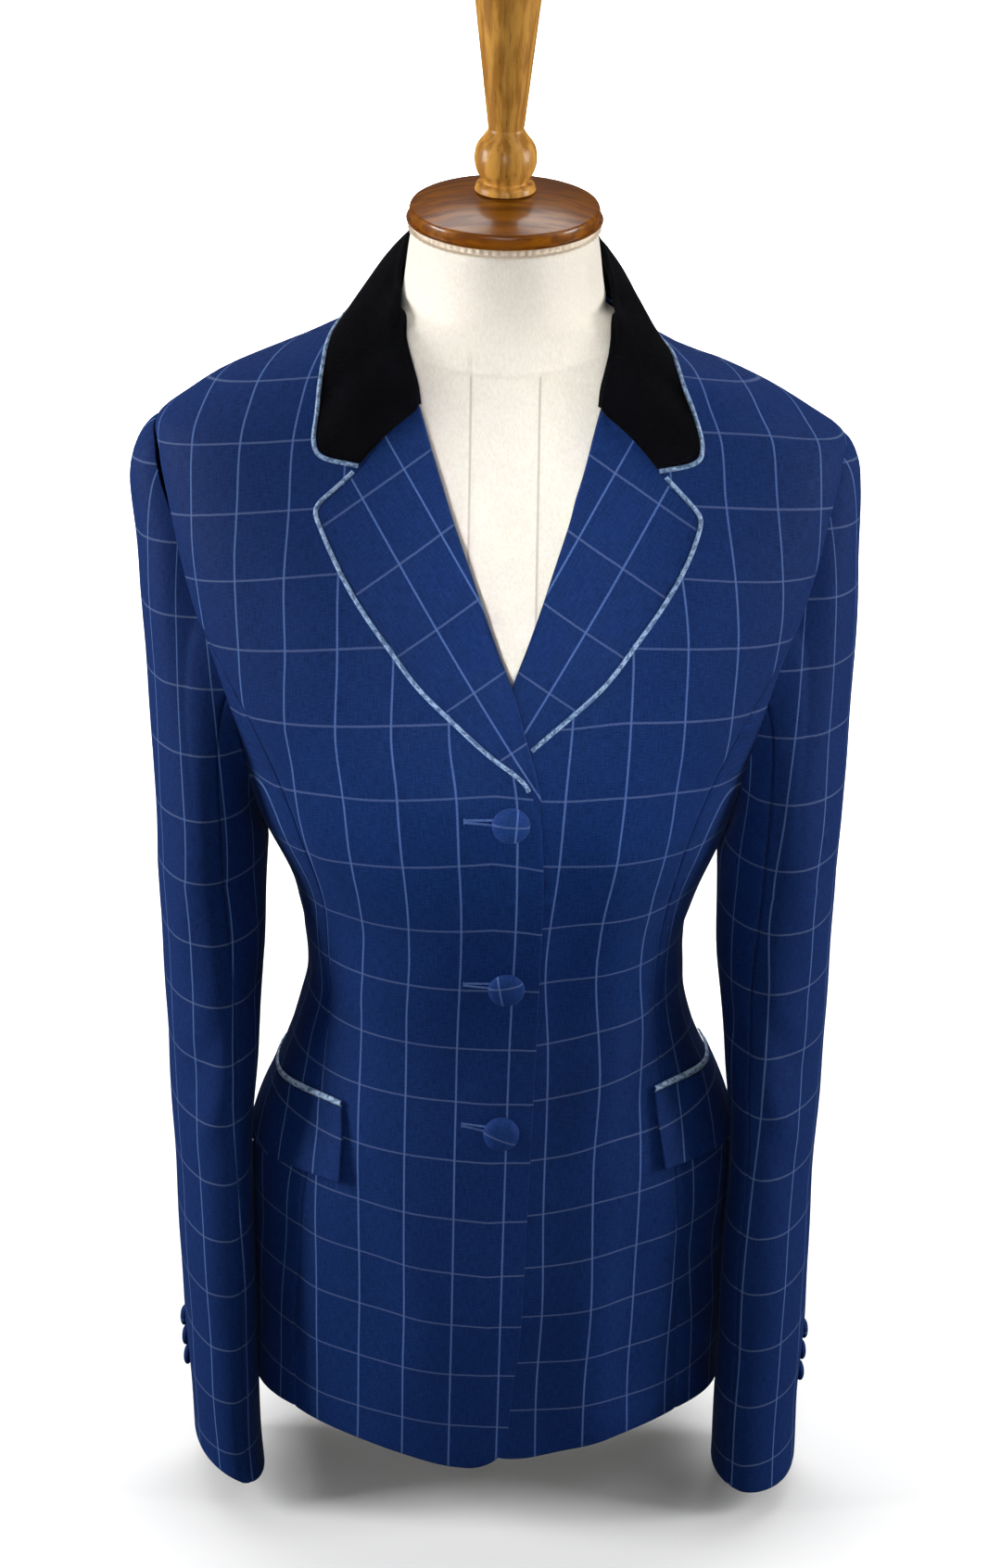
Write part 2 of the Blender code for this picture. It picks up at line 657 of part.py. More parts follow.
def collar():
    left = [collar_row(station, -1.0) for station in COLLAR]
    right = [collar_row(station, 1.0) for station in COLLAR]
    grid = np.array(left + right[-2::-1])
    inner = moved(grid, WALL)
    middle = np.array([0.0, 0.0, 0.70])
    far = np.mean(np.linalg.norm(inner[:, 0] - middle, axis=1))
    near = np.mean(np.linalg.norm(grid[:, 0] - middle, axis=1))
    if far > near:
        inner = moved(grid, -WALL)
    return shell("collar", grid, inner, "velvet")


def collar_piping():
    sides = []
    for side in (-1.0, 1.0):
        half = []
        for station in COLLAR:
            row = collar_row(station, side)
            away = unit(row[0] - row[1])
            half.append(pushed_out(row[0] + away * (PIPE + 5 * SEAM), PIPE + 0.0018))
        sides.append(half)
    return piping("collar_piping", sides[0] + sides[1][-2::-1])


def pocket(side_name, side, top_x, foot_x, top, foot):
    flap_out = []
    flap_in = []
    for z in np.linspace(foot, top, 4):
        share = (z - foot) / (top - foot)
        first = angle_at(foot_x + (top_x - foot_x) * share, z)
        row = []
        under = []
        for t in np.linspace(0.0, 1.0, 8):
            a = side * (first + (POCKET_BACK - first) * t)
            rise = LIFT + 0.0009 + 0.0012 * (1 - share)
            row.append(coat(a, z, rise))
            under.append(coat(a, z, rise - WALL))
        flap_out.append(row)
        flap_in.append(under)
    shell("pocket_flap_" + side_name, flap_out, flap_in, "cloth")
    welt_out = []
    welt_in = []
    for z in (top + SEAM, top + SEAM + 0.0032):
        first = angle_at(top_x, z)
        row = []
        under = []
        for t in np.linspace(0.0, 1.0, 8):
            a = side * (first + (POCKET_BACK - first) * t)
            row.append(coat(a, z, LIFT + 0.0016))
            under.append(coat(a, z, SEAM + 0.0009))
        welt_out.append(row)
        welt_in.append(under)
    shell("pocket_welt_" + side_name, welt_out, welt_in, "brocade")


# Dress form under the coat
def form_point(angle, z):
    around = abs(math.degrees(angle))
    around = min(around, 360 - around)
    rest = ramp(0.600, 0.662, z) * ramp(48.0, 74.0, around)
    return coat(angle, z, -(WALL + SHOULDER_GAP + EASE * (1 - rest)))


def form():
    sides = 48
    rings = []
    for z in FORM_ROWS:
        rings.append([form_point(2 * math.pi * k / sides, z) for k in range(sides)])
    for z, half, ahead, behind, centre, tilt in NECK:
        ring = []
        for k in range(sides):
            a = 2 * math.pi * k / sides
            depth = ahead if math.cos(a) > 0 else behind
            y = -depth * math.cos(a)
            ring.append((half * math.sin(a), centre + y, z + y * math.tan(math.radians(tilt))))
        rings.append(ring)
    points = [tuple(p) for ring in rings for p in ring]
    faces = []
    for i in range(len(rings) - 1):
        for k in range(sides):
            m = (k + 1) % sides
            faces.append((i * sides + k, i * sides + m, (i + 1) * sides + m, (i + 1) * sides + k))
    faces.append(tuple(range(sides)))
    faces.append(tuple((len(rings) - 1) * sides + k for k in reversed(range(sides))))
    closed("form_torso", points, faces, "form")


def foot():
    data = bpy.data.meshes.new("form_foot")
    made = bmesh.new()
    bmesh.ops.create_cone(made, cap_ends=True, segments=48, radius1=1.0, radius2=1.0, depth=FOOT_TOP_Z)
    for v in made.verts:
        v.co.x *= FOOT_HALF_X
        v.co.y = v.co.y * FOOT_HALF_Y + FOOT_Y
        v.co.z += FOOT_TOP_Z / 2
    made.to_mesh(data)
    made.free()
    place("form_foot", data, "form")


front("front_right", -1)
front("front_left", 1)
side_panel("side_panel_right", -1)
side_panel("side_panel_left", 1)
back("back_right", -1)
back("back_left", 1)
sleeve("top_sleeve_right", "under_sleeve_right", -1, SLEEVE_RIGHT)
sleeve("top_sleeve_left", "under_sleeve_left", 1, SLEEVE_LEFT)
lapel("lapel_right", -1, LAPEL_RIGHT)
lapel("lapel_left", 1, LAPEL_LEFT)
lapel_piping("lapel_piping_right", -1, LAPEL_RIGHT, 1, 12)
lapel_piping("lapel_piping_left", 1, LAPEL_LEFT, 2, 12)
collar()
collar_piping()
for row in POCKETS:
    pocket(*row)
for i, (x, z, room) in enumerate(BUTTONS):
    a = angle_at(x, z)
    turned("front_button_%d" % (i + 1), BUTTON, "cloth", coat(a, z, room), normal(a, z), 20)
for side_name, side, table in (("right", -1, SLEEVE_RIGHT), ("left", 1, SLEEVE_LEFT)):
    for i, z in enumerate(CUFF_BUTTONS):
        spot = ring_point(side, table, z, CUFF_ANGLE)
        ahead = ring_point(side, table, z, CUFF_ANGLE + 0.05) - spot
        way = unit(np.cross(ahead, np.array([0.0, 0.0, 1.0]))) * side
        if way[0] * side < 0:
            way = -way
        name = "cuff_button_%s_%d" % (side_name, i + 1)
        turned(name, BUTTON, "cloth", spot + way * 0.0006, way, 14, BUTTON_CUFF_SCALE)
form()
foot()
lean = np.array([0.0, -math.sin(CAP_TILT), math.cos(CAP_TILT)])
stem = np.array(NECK_TOP) + lean * SEAM
turned("neck_band", BAND, "form", stem, lean, 40)
turned("neck_cap", CAP, "wood", stem + lean * (0.0044 + SEAM), lean, 40)
turned("finial", FINIAL, "wood", stem + lean * (0.0044 + 0.0150 + 2 * SEAM), lean, 24)
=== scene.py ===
# Looks of the riding show coat on its dress form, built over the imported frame
# Frame: +X viewer's right, -Y front, +Z up, metres; side -1 is the viewer's left
import math
import bpy
import numpy as np
from mathutils import Matrix, Vector


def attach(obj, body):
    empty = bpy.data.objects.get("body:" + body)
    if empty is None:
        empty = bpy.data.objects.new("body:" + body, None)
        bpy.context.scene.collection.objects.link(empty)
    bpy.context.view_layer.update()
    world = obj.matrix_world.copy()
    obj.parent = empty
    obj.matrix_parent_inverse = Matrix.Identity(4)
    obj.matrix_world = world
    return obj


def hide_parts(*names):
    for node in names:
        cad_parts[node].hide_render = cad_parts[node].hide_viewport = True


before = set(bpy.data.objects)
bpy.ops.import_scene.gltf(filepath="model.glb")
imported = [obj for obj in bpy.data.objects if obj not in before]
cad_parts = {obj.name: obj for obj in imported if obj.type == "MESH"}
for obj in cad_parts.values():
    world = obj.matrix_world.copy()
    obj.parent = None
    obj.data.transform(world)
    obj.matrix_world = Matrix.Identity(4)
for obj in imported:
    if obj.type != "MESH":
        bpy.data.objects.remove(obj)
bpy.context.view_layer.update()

SIDES = (("right", -1), ("left", 1))  # named as the wearer's
UP = np.array([0.0, 0.0, 1.0])
FLAT = np.array([1.0, 1.0, 0.0])
WALL = 0.0015  # thickness of the cloth
WELT_WALL = 0.0008
SEAM = 0.0003  # gap left at every seam
LIFT = 0.0021  # a layer lies this far above the one below it
UNDER = 0.0070  # how far the under front sinks at the closure
UNDER_WIDE = (0.034, 0.074)  # the sinking ends between these distances from the middle
UNDER_HIGH = (0.590, 0.690)  # and between these heights
EASE = 0.0090  # room between the form and the coat below the shoulders
SHOULDER_GAP = 0.0016  # room where the coat rests on the form
PIPE = 0.0012  # radius of the piping
PIPE_SIDES = 12
SHOULDER_Z = 0.6648  # shoulder point
NECK_Z = 0.7260  # top edge of the coat's own neckline
SIDE_TOP_Z = 0.5580  # panel seam meets the armhole
UNDERARM_Z = 0.4350
HEM_Z = 0.0300  # foot of the section table
HEM_REACH = 0.17  # above this the hem's shape no longer moves the cloth
BACK_HEM_Z = 0.0500
BREAK_Z = 0.4846  # the lapel on top breaks here
UNDER_BREAK_Z = 0.4900  # the lapel below breaks here
UNDER_EDGE_X = -0.0110  # front edge of the under front
NECK_EDGE_X = 0.0600  # where the neckline meets the shoulder seam
NECK_HOLLOW = 0.0020  # the neckline of the under front is hollowed by this much
FLANK = (0.060, 0.120)  # the sides begin and end at these distances from the middle
CUFF_SLANT = {-1: 0.0085, 1: -0.0035}  # each cuff is this much higher on its outer side
CUFF_REACH = 0.15  # height at which the slant has died out
FRONT_FOLD = 1.15  # above 1 the sleeve's front edge is more of a fold
SLEEVE_ROUND = 0.9  # below 1 the rest of the sleeve is fuller than an ellipse
CUFF_Z = 0.0200
HEAD_END_Z = 0.4050  # the sleeve is a plain tube below this
BUTTON_CUFF_SCALE = 0.62
BUTTON_CUFF_ROOM = 0.0010
CAP_TILT = math.radians(8.0)
NECK_TOP = (0.0, -0.0040, 0.7700)
COLLAR_SHIFT = 0.0045  # the neckline sits this far to the viewer's right at the gorge
COLLAR_GAP = LIFT + 0.0016  # height of the collar above the coat
TURNS = 144  # steps around a sleeve
FRONT_TURN = 45  # seam at the front of the sleeve, in steps of the ring
BACK_TURN = 111  # seam at the back of the sleeve
HEAD_ROWS = 46  # rows of the sleeve head
TUBE_ROWS = 104
HEAD_FULL = {-1: 1.35, 1: 1.02}  # fullness of each sleeve head
CORNER = 0.0240  # radius of the front corners at the hem
DIP = 0.0006  # depth of a seam's valley
DIP_WIDTH = 0.0014
CALM = 0.010  # creases die out this near to a seam
UNEVEN = 0.00022  # height of the slight unevenness
EDGE_LIFT = 0.0018  # the front edge on top curls outward by this much
EDGE_WIDTH = 0.007
CURL_END = 0.030  # the curl dies out over this much below the break
LINE_PITCH_SLEEVE = {-1: 0.0262, 1: 0.0285}
SIDE_LINE = 0.0130  # first line of the side panel, from its front seam
BUTTON_PITCH = (0.0292, 0.0370)
BROCADE_REPEAT = 0.0015
DEGREE = 0.0009  # length round the sleeve taken for one degree by its creases
ROUND_STEPS = 1440  # steps for lengths round the body
PROBE = 0.0005  # step for slopes of the body's surface
RIB_SWELL = 0.007
BAND_HIGH = 0.0044
CAP_HIGH = 0.0150


# Lengths of a table from millimetres to metres; the columns listed after it stay as they are
def mm(table, *plain):
    if isinstance(table, dict):
        return {key: mm(rows, *plain) for key, rows in table.items()}
    if isinstance(table, list):
        return [mm(row, *plain) for row in table]
    if isinstance(table, tuple):
        return tuple(v if k in plain else v / 1000 for k, v in enumerate(table))
    return table / 1000


# Coat body, a row for each level section
# height, half_width, front, back, power
BODY = mm([
    (30, 148, 116.5, 118, 2.15), (105, 146.5, 117.5, 120, 2.15), (165, 146, 116, 118, 2.15),
    (205, 145.5, 112, 112, 2.15), (236, 141.2, 108, 104, 2.15), (262, 133.5, 105, 96, 2.15),
    (291, 121.5, 102, 88, 2.15), (335, 112, 101, 80, 2.2), (385, 119, 108, 84, 2.2),
    (431, 136, 118.5, 92, 2.2), (475, 149, 124.5, 98, 2.28), (525, 165.5, 118, 101, 2.45),
    (575, 179.5, 102, 100, 2.6), (615, 188, 84, 93, 2.6), (650, 191.5, 67, 80, 2.4),
    (664.8, 190, 61, 75, 2.15), (678.5, 173.8, 56, 71, 1.85), (692.4, 153, 54, 68, 1.8),
    (706.3, 122, 53, 65, 1.75), (718.7, 87.5, 53, 62, 1.8), (726, 66, 53, 60, 2),
], 4)
# Heights of the rings of the form below its neck
FORM_ROWS = mm([
    70, 105, 140, 180, 220, 255, 290, 335, 375, 415, 450, 485, 515, 540, 560, 585, 610, 632, 650, 660, 670,
    678.5, 686, 692.4, 700, 706.3, 713, 718.7, 722.6,
])
# Neck of the form above the torso
# height, half_width, front, back, y_centre, tilt in degrees
NECK = mm([
    (726.5, 57.6, 50.2, 54.5, 0, 0),
    (734, 55.6, 50.4, 53.2, 0, 0),
    (743, 53.8, 50, 52.2, -1, 2),
    (757, 52, 50, 51.3, -2.5, 5),
    (770, 50, 50, 50, -4, 8),
], 5)
# Seam between front and side panel: height, distance from the middle
PANEL_SEAM = mm([
    (30, 117), (127, 115), (180, 111.5), (230, 107.5), (275, 102.5), (305, 98), (343, 95), (393, 98),
    (445, 108.5), (476, 119), (500, 130), (530, 147.5), (558, 164),
])
# Seam between side panel and back: height, angle from the front in degrees
BACK_SEAM = mm([(30, 122), (200, 124), (335, 127), (431, 124), (500, 117), (558, 111)], 1)
# Armhole above the side panel: height, front angle, back angle
ARMHOLE = mm([
    (558, 68, 111), (580, 69.5, 110), (615, 71.5, 108.5), (638, 75, 105.5), (654, 80.5, 100),
    (664.8, 90, 90),
], 1, 2)
# Hem of each side: distance from the middle, height
HEM = mm({
    -1: [(-30, 48), (0, 47.5), (20, 48), (50, 53.5), (80, 59), (115, 61.8), (150, 58.5)],
    1: [(-30, 52), (0, 50.8), (20, 49), (37, 51), (55, 56.2), (90, 63.8), (115, 64.8), (150, 60)],
})
# Front edge on top at the closure: height, x
FRONT_EDGE = mm([
    (30, 14), (75, 16.5), (110, 19), (180, 21.5), (280, 24.5), (360, 26.5), (445, 27), (484.6, 24.6),
])
# Lapels: height, roll line, outer edge, both as distances toward their own side
LAPEL = mm({
    -1: [
        (484.6, -24.6, -22.6), (496.6, -21.4, -17.2), (511, -17.2, 1.5), (528.4, -12.1, 21.5),
        (544.7, -7.1, 39.6), (564.4, 1.2, 56), (581.9, 8.1, 70.1), (597.6, 14.2, 80.8), (615.2, 21.3, 90.5),
        (629.8, 27, 97.6), (639.2, 30.3, 86.6), (647.8, 33.3, 76.8), (669, 40.5, 60), (684, 45.2, 47.8),
    ],
    1: [
        (490, -11, -9), (500, -7.6, 5), (513.1, -3, 18.5), (529.4, 4, 37.5), (545.7, 9.8, 55),
        (567.1, 18, 71.7), (587.7, 25.4, 87.2), (602, 30.2, 96.2), (617.2, 35.5, 103.2), (628, 39.1, 106.4),
        (639, 42, 95.5), (647.4, 44.8, 86.8), (669, 50.5, 69.5), (684, 54.5, 57),
    ],
})
LAPEL_POINT = 9  # row of the lapel's point
PIPED = {-1: (0.4920, 0.6478), 1: (0.5131, 0.6474)}  # heights where each lapel's piping starts and ends
# Collar for one side, a row for each station from the gorge to the centre back
# fold_x, fold_y, fold_z, edge_x, edge_y, edge_z, stand
COLLAR = mm([
    (49.2, -57, 682.2, 79, -62, 652.7, 0),
    (50.5, -53, 691.5, 97, -57, 655.2, 0.05),
    (52.8, -48.5, 700.5, 101.6, -52, 661.7, 0.1),
    (55.2, -40, 712, 100.2, -45, 676.6, 0.2),
    (57.4, -29, 724, 96.5, -35, 693, 0.35),
    (58.4, -13, 738, 89.5, -19, 708, 0.6),
    (57.2, 6, 751, 81, 2, 719, 0.8),
    (50, 34, 764, 69, 35, 717, 0.95),
    (30, 56, 769, 45, 61, 713, 1),
    (0, 63, 770.5, 0, 69, 711, 1),
], 6)
# Sleeves, a row for each section of the tube from the cuff up
# height, centre_x, centre_y, half_width, half_depth, yaw in degrees
SLEEVE = mm({
    -1: [
        (20, 158.5, -55, 20.4, 44, 14.5),
        (60, 161.2, -52, 20.2, 46, 13),
        (110, 163, -47, 21, 49, 14),
        (170, 165.2, -40, 22.2, 52, 15),
        (230, 167.2, -32, 22.6, 54.5, 15),
        (290, 165.9, -23, 26.3, 57, 12),
        (350, 165.4, -13, 30.3, 60, 7),
        (405, 165.2, -6, 32, 64, 2),
    ],
    1: [
        (20, 167.1, -55, 25.1, 44, 14),
        (60, 167.7, -52, 24.7, 46, 14),
        (110, 168.8, -47, 25.3, 49, 14),
        (170, 169.2, -40, 25.9, 52, 14),
        (230, 171, -32, 25, 54.5, 13),
        (290, 169.2, -23, 28.9, 57, 11),
        (350, 166.3, -13, 33.7, 60, 6),
        (405, 165.9, -6, 34.6, 64, 2),
    ],
}, 5)
# Outward trim of each sleeve head: height, amount
HEAD_TRIM = mm({
    -1: [
        (400, 0), (430, -0.6), (465, -1.8), (499, -2.6), (533, -4.2), (567, -3.6), (600, -2), (616, 0),
        (632, 2.1), (648, 2.1), (665, 0),
    ],
    1: [
        (400, 0), (430, 1), (465, 0), (499, -1.6), (533, -3.1), (567, -3.8), (600, -4.6), (616, -4.2),
        (632, -3), (648, -1), (665, 0),
    ],
})
# How far each shoulder has settled below the even sections: distance from the middle, drop
SHOULDER_DROP = mm({
    -1: [(0, 0), (55, 0), (90, 1.5), (105, 3.2), (125, 3.7), (155, 3.2), (175, 2.6), (190, 2.1), (230, 2)],
    1: [
        (0, 0), (52, 0), (70, 4), (85, 8), (100, 9.8), (120, 8.8), (140, 9), (160, 9.2), (175, 7.8),
        (190, 6.4), (230, 6),
    ],
})
# The viewer's left side is slimmer at the waist: height, amount
WAIST_IN = mm([
    (180, 0), (215, 0), (238, 2.5), (258, 5), (280, 3), (305, 2), (328, 3.4), (360, 1), (398, 3.6),
    (440, 0),
])
# The viewer's right side is fuller at the hip: height, amount
HIP_OUT = mm([(150, 0), (170, 0.4), (200, 2.6), (225, 3.3), (250, 1.8), (275, 0), (300, 0)])
# Collar of each side: lower fold, edge nearer the neck
COLLAR_TRIM = mm({-1: (1.5, 0), 1: (5, 7)})
# Pockets: side name, side, front edge x at the top, at the foot, top height, foot height
POCKETS = mm([("right", -1, 86, 84.8, 272.5, 229), ("left", 1, 94.5, 98.4, 280.5, 236)], 0, 1)
POCKET_BACK = math.radians(103.0)
POCKET_SLANT = 0.0110  # the pocket's rear end is this much lower
WELT_HIGH = 0.0038
# Front buttons: x, height, room under it, turn of its check in degrees, shift of its check
BUTTONS = mm([
    (9, 472.3, 0.9, 4, (-0.1, -0.02)), (8.2, 364, 1.2, -10, (0.12, -0.1)),
    (6.8, 271, 1.2, 22, (0.42, 0.063)),
], 3, 4)
# Buttonholes: end nearest the viewer's left, height there, height at the button
BUTTONHOLES = mm([(-15.5, 472.8, 472.3), (-15, 364.8, 364), (-15, 274.5, 271)])
BUTTONHOLE_END = 0.0085  # x of the end at the button
# Cuff buttons of each side: heights
CUFF_BUTTONS = mm({
    -1: [90.5, 77.2, 63.9],
    1: [89.5, 75.2, 60.9],
})
CUFF_ANGLE = math.radians(-38.0)
# Turned profiles: radius, height
BUTTON = mm([(0, 0), (7.5, 0), (9.8, 1.2), (10.3, 2.6), (9.6, 4.4), (7, 5.9), (3.5, 6.6), (0, 6.8)])
CAP = mm([
    (0, 0), (49, 0), (50.5, 0.5), (51.2, 1.8), (51.2, 5.6), (50.4, 7), (48.8, 7.8), (35, 12), (19, 14.5),
    (0, 15),
])
FINIAL = mm([
    (0, 0), (15, 0), (16, 2), (15, 4.2), (12.5, 5.5), (15.5, 11), (16.8, 17.5), (15.5, 24.5), (11.5, 30),
    (9.5, 33.5), (10, 37), (12.8, 62), (16.5, 95), (18.5, 115), (18, 126), (14, 133), (7, 136.2),
    (0, 136.8),
])
BAND = mm([(0, 0), (48.4, 0), (49.3, 0.6), (49.6, 2.2), (49.3, 3.8), (48.4, 4.4), (0, 4.4)])
# Check on the coat: heights of its rows at the middle
ROW_HEIGHTS = mm([
    6, 42, 78, 114, 147, 180, 214, 251.5, 287.7, 321.8, 360.8, 402.5, 446.5, 487.8, 527.5, 566, 604, 640,
    676, 706.5, 738,
])
# Rise of the rows away from the middle: height, right, left, step of the left front
ROW_RISE = mm([
    (30, 0.04, 0, 12), (90, 0.05, 0, 11), (120, 0.055, 0.01, 8), (180, 0.1, 0.045, 6),
    (215, 0.085, 0.09, 4), (250, 0.04, 0.075, 1), (300, 0.01, 0.095, 1), (330, 0, 0.08, 1),
    (365, -0.01, 0.015, 3), (400, -0.085, 0, -1), (450, -0.12, -0.065, 0), (530, -0.04, 0.03, 0),
    (570, 0.028, 0.034, 0), (605, 0.018, 0.004, 0), (650, -0.12, -0.05, 0), (700, -0.12, -0.06, 0),
], 1, 2)
# Bend of the rows: height, right, left
ROW_BEND = mm([
    (420, 0, 0), (480, -0.2, -0.4), (530, -0.45, -0.6), (570, -0.875, -0.6), (605, -0.875, -0.6),
    (650, 0, 0),
], 1, 2)
ROW_COLUMN = {-1: 1, 1: 2}  # column of each side in the two tables above
ROW_SAG = 0.65  # rows of the under front hang lower by this share of how far it is sunk
# Distance between the upright lines by height
LINE_PITCH = mm([
    (30, 28.5), (150, 28.5), (310, 29.8), (400, 30), (480, 32.5), (530, 31), (600, 30), (700, 29.2),
])
# One upright line of each front: height, x
LINE = mm({
    -1: [
        (30, 7), (136, 8.2), (312, 10.5), (442.4, 12.9), (487.6, 11.6), (516, 6.7), (557, 5.6), (595, 4.4),
        (629, 5.3), (663, 5.8), (691, 10), (711, 14.8), (726, 18),
    ],
    1: [
        (30, 32), (95, 31.4), (155, 33.8), (220, 33.2), (324, 34), (366, 31.8), (440, 37.2), (486, 39.5),
        (530, 42), (567, 42.5), (603, 38), (636, 33), (667, 30.5), (686, 25), (726, 18),
    ],
})
# First line of each sleeve: height, distance round the sleeve from its outer side
LINE_SLEEVE = mm({
    -1: [
        (20, 37.2), (95, 41.3), (158, 44), (220, 43.8), (285, 45.8), (345, 56.2), (385, 62.8), (428, 65),
        (482, 61.4), (543, 55.9), (573, 52.6), (640, 48),
    ],
    1: [
        (18, 32.8), (67, 34.6), (152, 38.6), (226, 39.8), (283, 40), (348, 47), (400, 55.6), (452, 51.5),
        (516, 46.3), (554, 43.3), (583, 40.5), (660, 39),
    ],
})
# Heights of the check's rows on each sleeve
SLEEVE_ROWS = mm({
    -1: [
        4.5, 40.4, 76.7, 112.4, 149.4, 185.2, 221.5, 258.5, 296, 331.7, 369.7, 407.7, 445.3, 483.4, 522.1,
        560.4, 600.1, 641, 682,
    ],
    1: [
        0, 38.3, 79.9, 118.7, 156.8, 193, 230.5, 269.3, 306.5, 346, 382.9, 421.7, 461, 500, 538, 575.9,
        613.3, 651, 689,
    ],
})
LAPEL_CHECK = {
    -1: ((11.861, -31.649, -20.702), (15.199, 15.243, -22.140)),
    1: ((10.156, 30.575, -18.475), (16.017, -14.934, -23.207)),
}
# Soft creases: start x, start height, end x, end height, width, depth (minus is a trough)
CREASES = mm({
    "front_right": [
        (-115, 505, -62, 448, 13, -1.6),
        (-125, 470, -80, 420, 10, 1.2),
        (-92, 395, -40, 372, 10, -1.1),
        (-90, 345, -30, 340, 12, 1),
        (-80, 235, -52, 130, 16, -2),
        (-50, 250, -26, 60, 20, 1.8),
        (-105, 220, -100, 70, 16, 2.2),
        (-10, 330, -30, 250, 13, -1),
        (-140, 600, -110, 545, 12, -1.2),
    ],
    "front_left": [
        (40, 255, 98, 350, 14, 2.6),
        (55, 225, 105, 305, 11, -2),
        (34, 330, 60, 430, 12, -1.4),
        (118, 505, 70, 450, 13, -1.6),
        (100, 410, 60, 380, 9, 1),
        (60, 200, 52, 60, 18, 2),
        (85, 225, 84, 80, 14, -2),
        (140, 600, 115, 545, 12, -1.2),
    ],
    "back_right": [
        (-100, 560, -50, 470, 16, -1.8),
        (-70, 370, -10, 350, 12, -1.4),
        (-80, 335, -15, 322, 10, 1.2),
        (-55, 250, -60, 70, 20, 2.4),
        (-25, 270, -28, 70, 16, -1.8),
        (-120, 640, -85, 560, 14, 1.2),
    ],
    "back_left": [
        (105, 560, 45, 480, 16, -1.8),
        (65, 385, 12, 362, 12, -1.4),
        (78, 345, 20, 328, 10, 1.2),
        (62, 245, 66, 70, 20, 2.2),
        (30, 260, 36, 70, 16, -1.8),
        (115, 645, 90, 565, 14, 1.2),
    ],
})
# Creases of the sleeves: start turn, start height, end turn, end height, width, depth (turns in degrees)
SLEEVE_CREASES = mm({
    -1: [
        (20, 560, 60, 440, 14, -1.2),
        (70, 430, 40, 330, 14, 1.4),
        (100, 330, 30, 270, 12, -1.6),
        (110, 300, 40, 235, 11, 1.4),
        (60, 240, 55, 80, 16, 1.4),
        (-60, 500, -20, 380, 16, -1.8),
        (-100, 330, -40, 290, 12, -1.6),
        (160, 350, 110, 290, 12, -1.8),
        (-20, 260, -30, 110, 14, -1),
    ],
    1: [
        (25, 560, 60, 450, 14, -1.2),
        (75, 440, 40, 345, 14, 1.4),
        (105, 340, 30, 285, 12, -1.6),
        (110, 305, 35, 245, 11, 1.4),
        (60, 230, 52, 90, 16, 1.2),
        (-55, 510, -20, 390, 16, -1.8),
        (-95, 340, -40, 295, 12, -1.6),
        (160, 345, 110, 295, 12, -1.8),
        (-20, 250, -30, 120, 14, -1),
    ],
}, 0, 2)
# Upright seams of the form's cover, at the front
FORM_SEAMS = mm([-16.5, 20.5])


def hermite(t, start, start_slope, end, end_slope):
    low = (2 * t ** 3 - 3 * t * t + 1) * start + (t ** 3 - 2 * t * t + t) * start_slope
    high = (3 * t * t - 2 * t ** 3) * end + (t ** 3 - t * t) * end_slope
    return low + high


# Smooth curve through one column of a table
def smooth(table, column, at):
    rows = np.array(table, float)
    xs = rows[:, 0]
    ys = rows[:, column]
    slopes = np.gradient(ys, xs)
    at = np.asarray(at, float)
    i = np.clip(np.searchsorted(xs, at) - 1, 0, len(xs) - 2)
    step = xs[i + 1] - xs[i]
    t = np.clip((at - xs[i]) / step, 0.0, 1.0)
    return hermite(t, ys[i], step * slopes[i], ys[i + 1], step * slopes[i + 1])


def straight(table, column, at):
    rows = np.array(table, float)
    return np.interp(at, rows[:, 0], rows[:, column])


def ramp(low, high, at):
    t = np.clip((np.asarray(at, float) - low) / (high - low), 0.0, 1.0)
    return t * t * (3 - 2 * t)


# Soft hump of height 1 round zero
def hump(away, width):
    return np.exp(-(away / width) ** 2)


def unit(v):
    return v / np.linalg.norm(v, axis=-1, keepdims=True)


def signed_power(value, exponent):
    return np.sign(value) * np.abs(value) ** exponent


# Curve through rows of points along the first axis, with more rows
def finer(points, count):
    points = np.asarray(points, float)
    old = np.arange(len(points), dtype=float)
    at = np.linspace(0.0, len(points) - 1.0, count)
    flat = points.reshape(len(points), -1)
    made = np.stack([smooth(np.stack([old, column], axis=1), 1, at) for column in flat.T], axis=1)
    return made.reshape((count,) + points.shape[1:])


# Even steps from 0 to 1 with a narrow strip at each end
def strips(count, inset):
    return np.concatenate([[0.0, inset], np.linspace(0.0, 1.0, count)[1:-1], [1.0 - inset, 1.0]])


# Lengths along a line of points from its start
def travelled(points):
    steps = np.linalg.norm(np.diff(points, axis=0), axis=1)
    return np.concatenate([[0.0], np.cumsum(steps)])


# Body surface by angle from the front and height
def section(z):
    return [smooth(BODY, column, z) for column in (1, 2, 3, 4)]


def body(angle, z):
    angle, z = np.broadcast_arrays(np.asarray(angle, float), np.asarray(z, float))
    half, front, back, power = section(z)
    s = np.sin(angle)
    c = np.cos(angle)
    depth = np.where(c > 0, front, back)
    x = half * signed_power(s, 2 / power)
    x = x + smooth(WAIST_IN, 1, z) * ramp(*FLANK, -x) + smooth(HIP_OUT, 1, z) * ramp(*FLANK, x)
    return np.stack([x, -depth * signed_power(c, 2 / power), z], axis=-1)


def normal(angle, z):
    step = 0.004
    low = np.maximum(z - step, HEM_Z)
    high = np.minimum(z + step, NECK_Z)
    around = body(angle + step, z) - body(angle - step, z)
    up = body(angle, high) - body(angle, low)
    return unit(np.cross(around, up))


def coat(angle, z, out=0.0):
    return body(angle, z) + normal(angle, z) * np.asarray(out, float)[..., None]


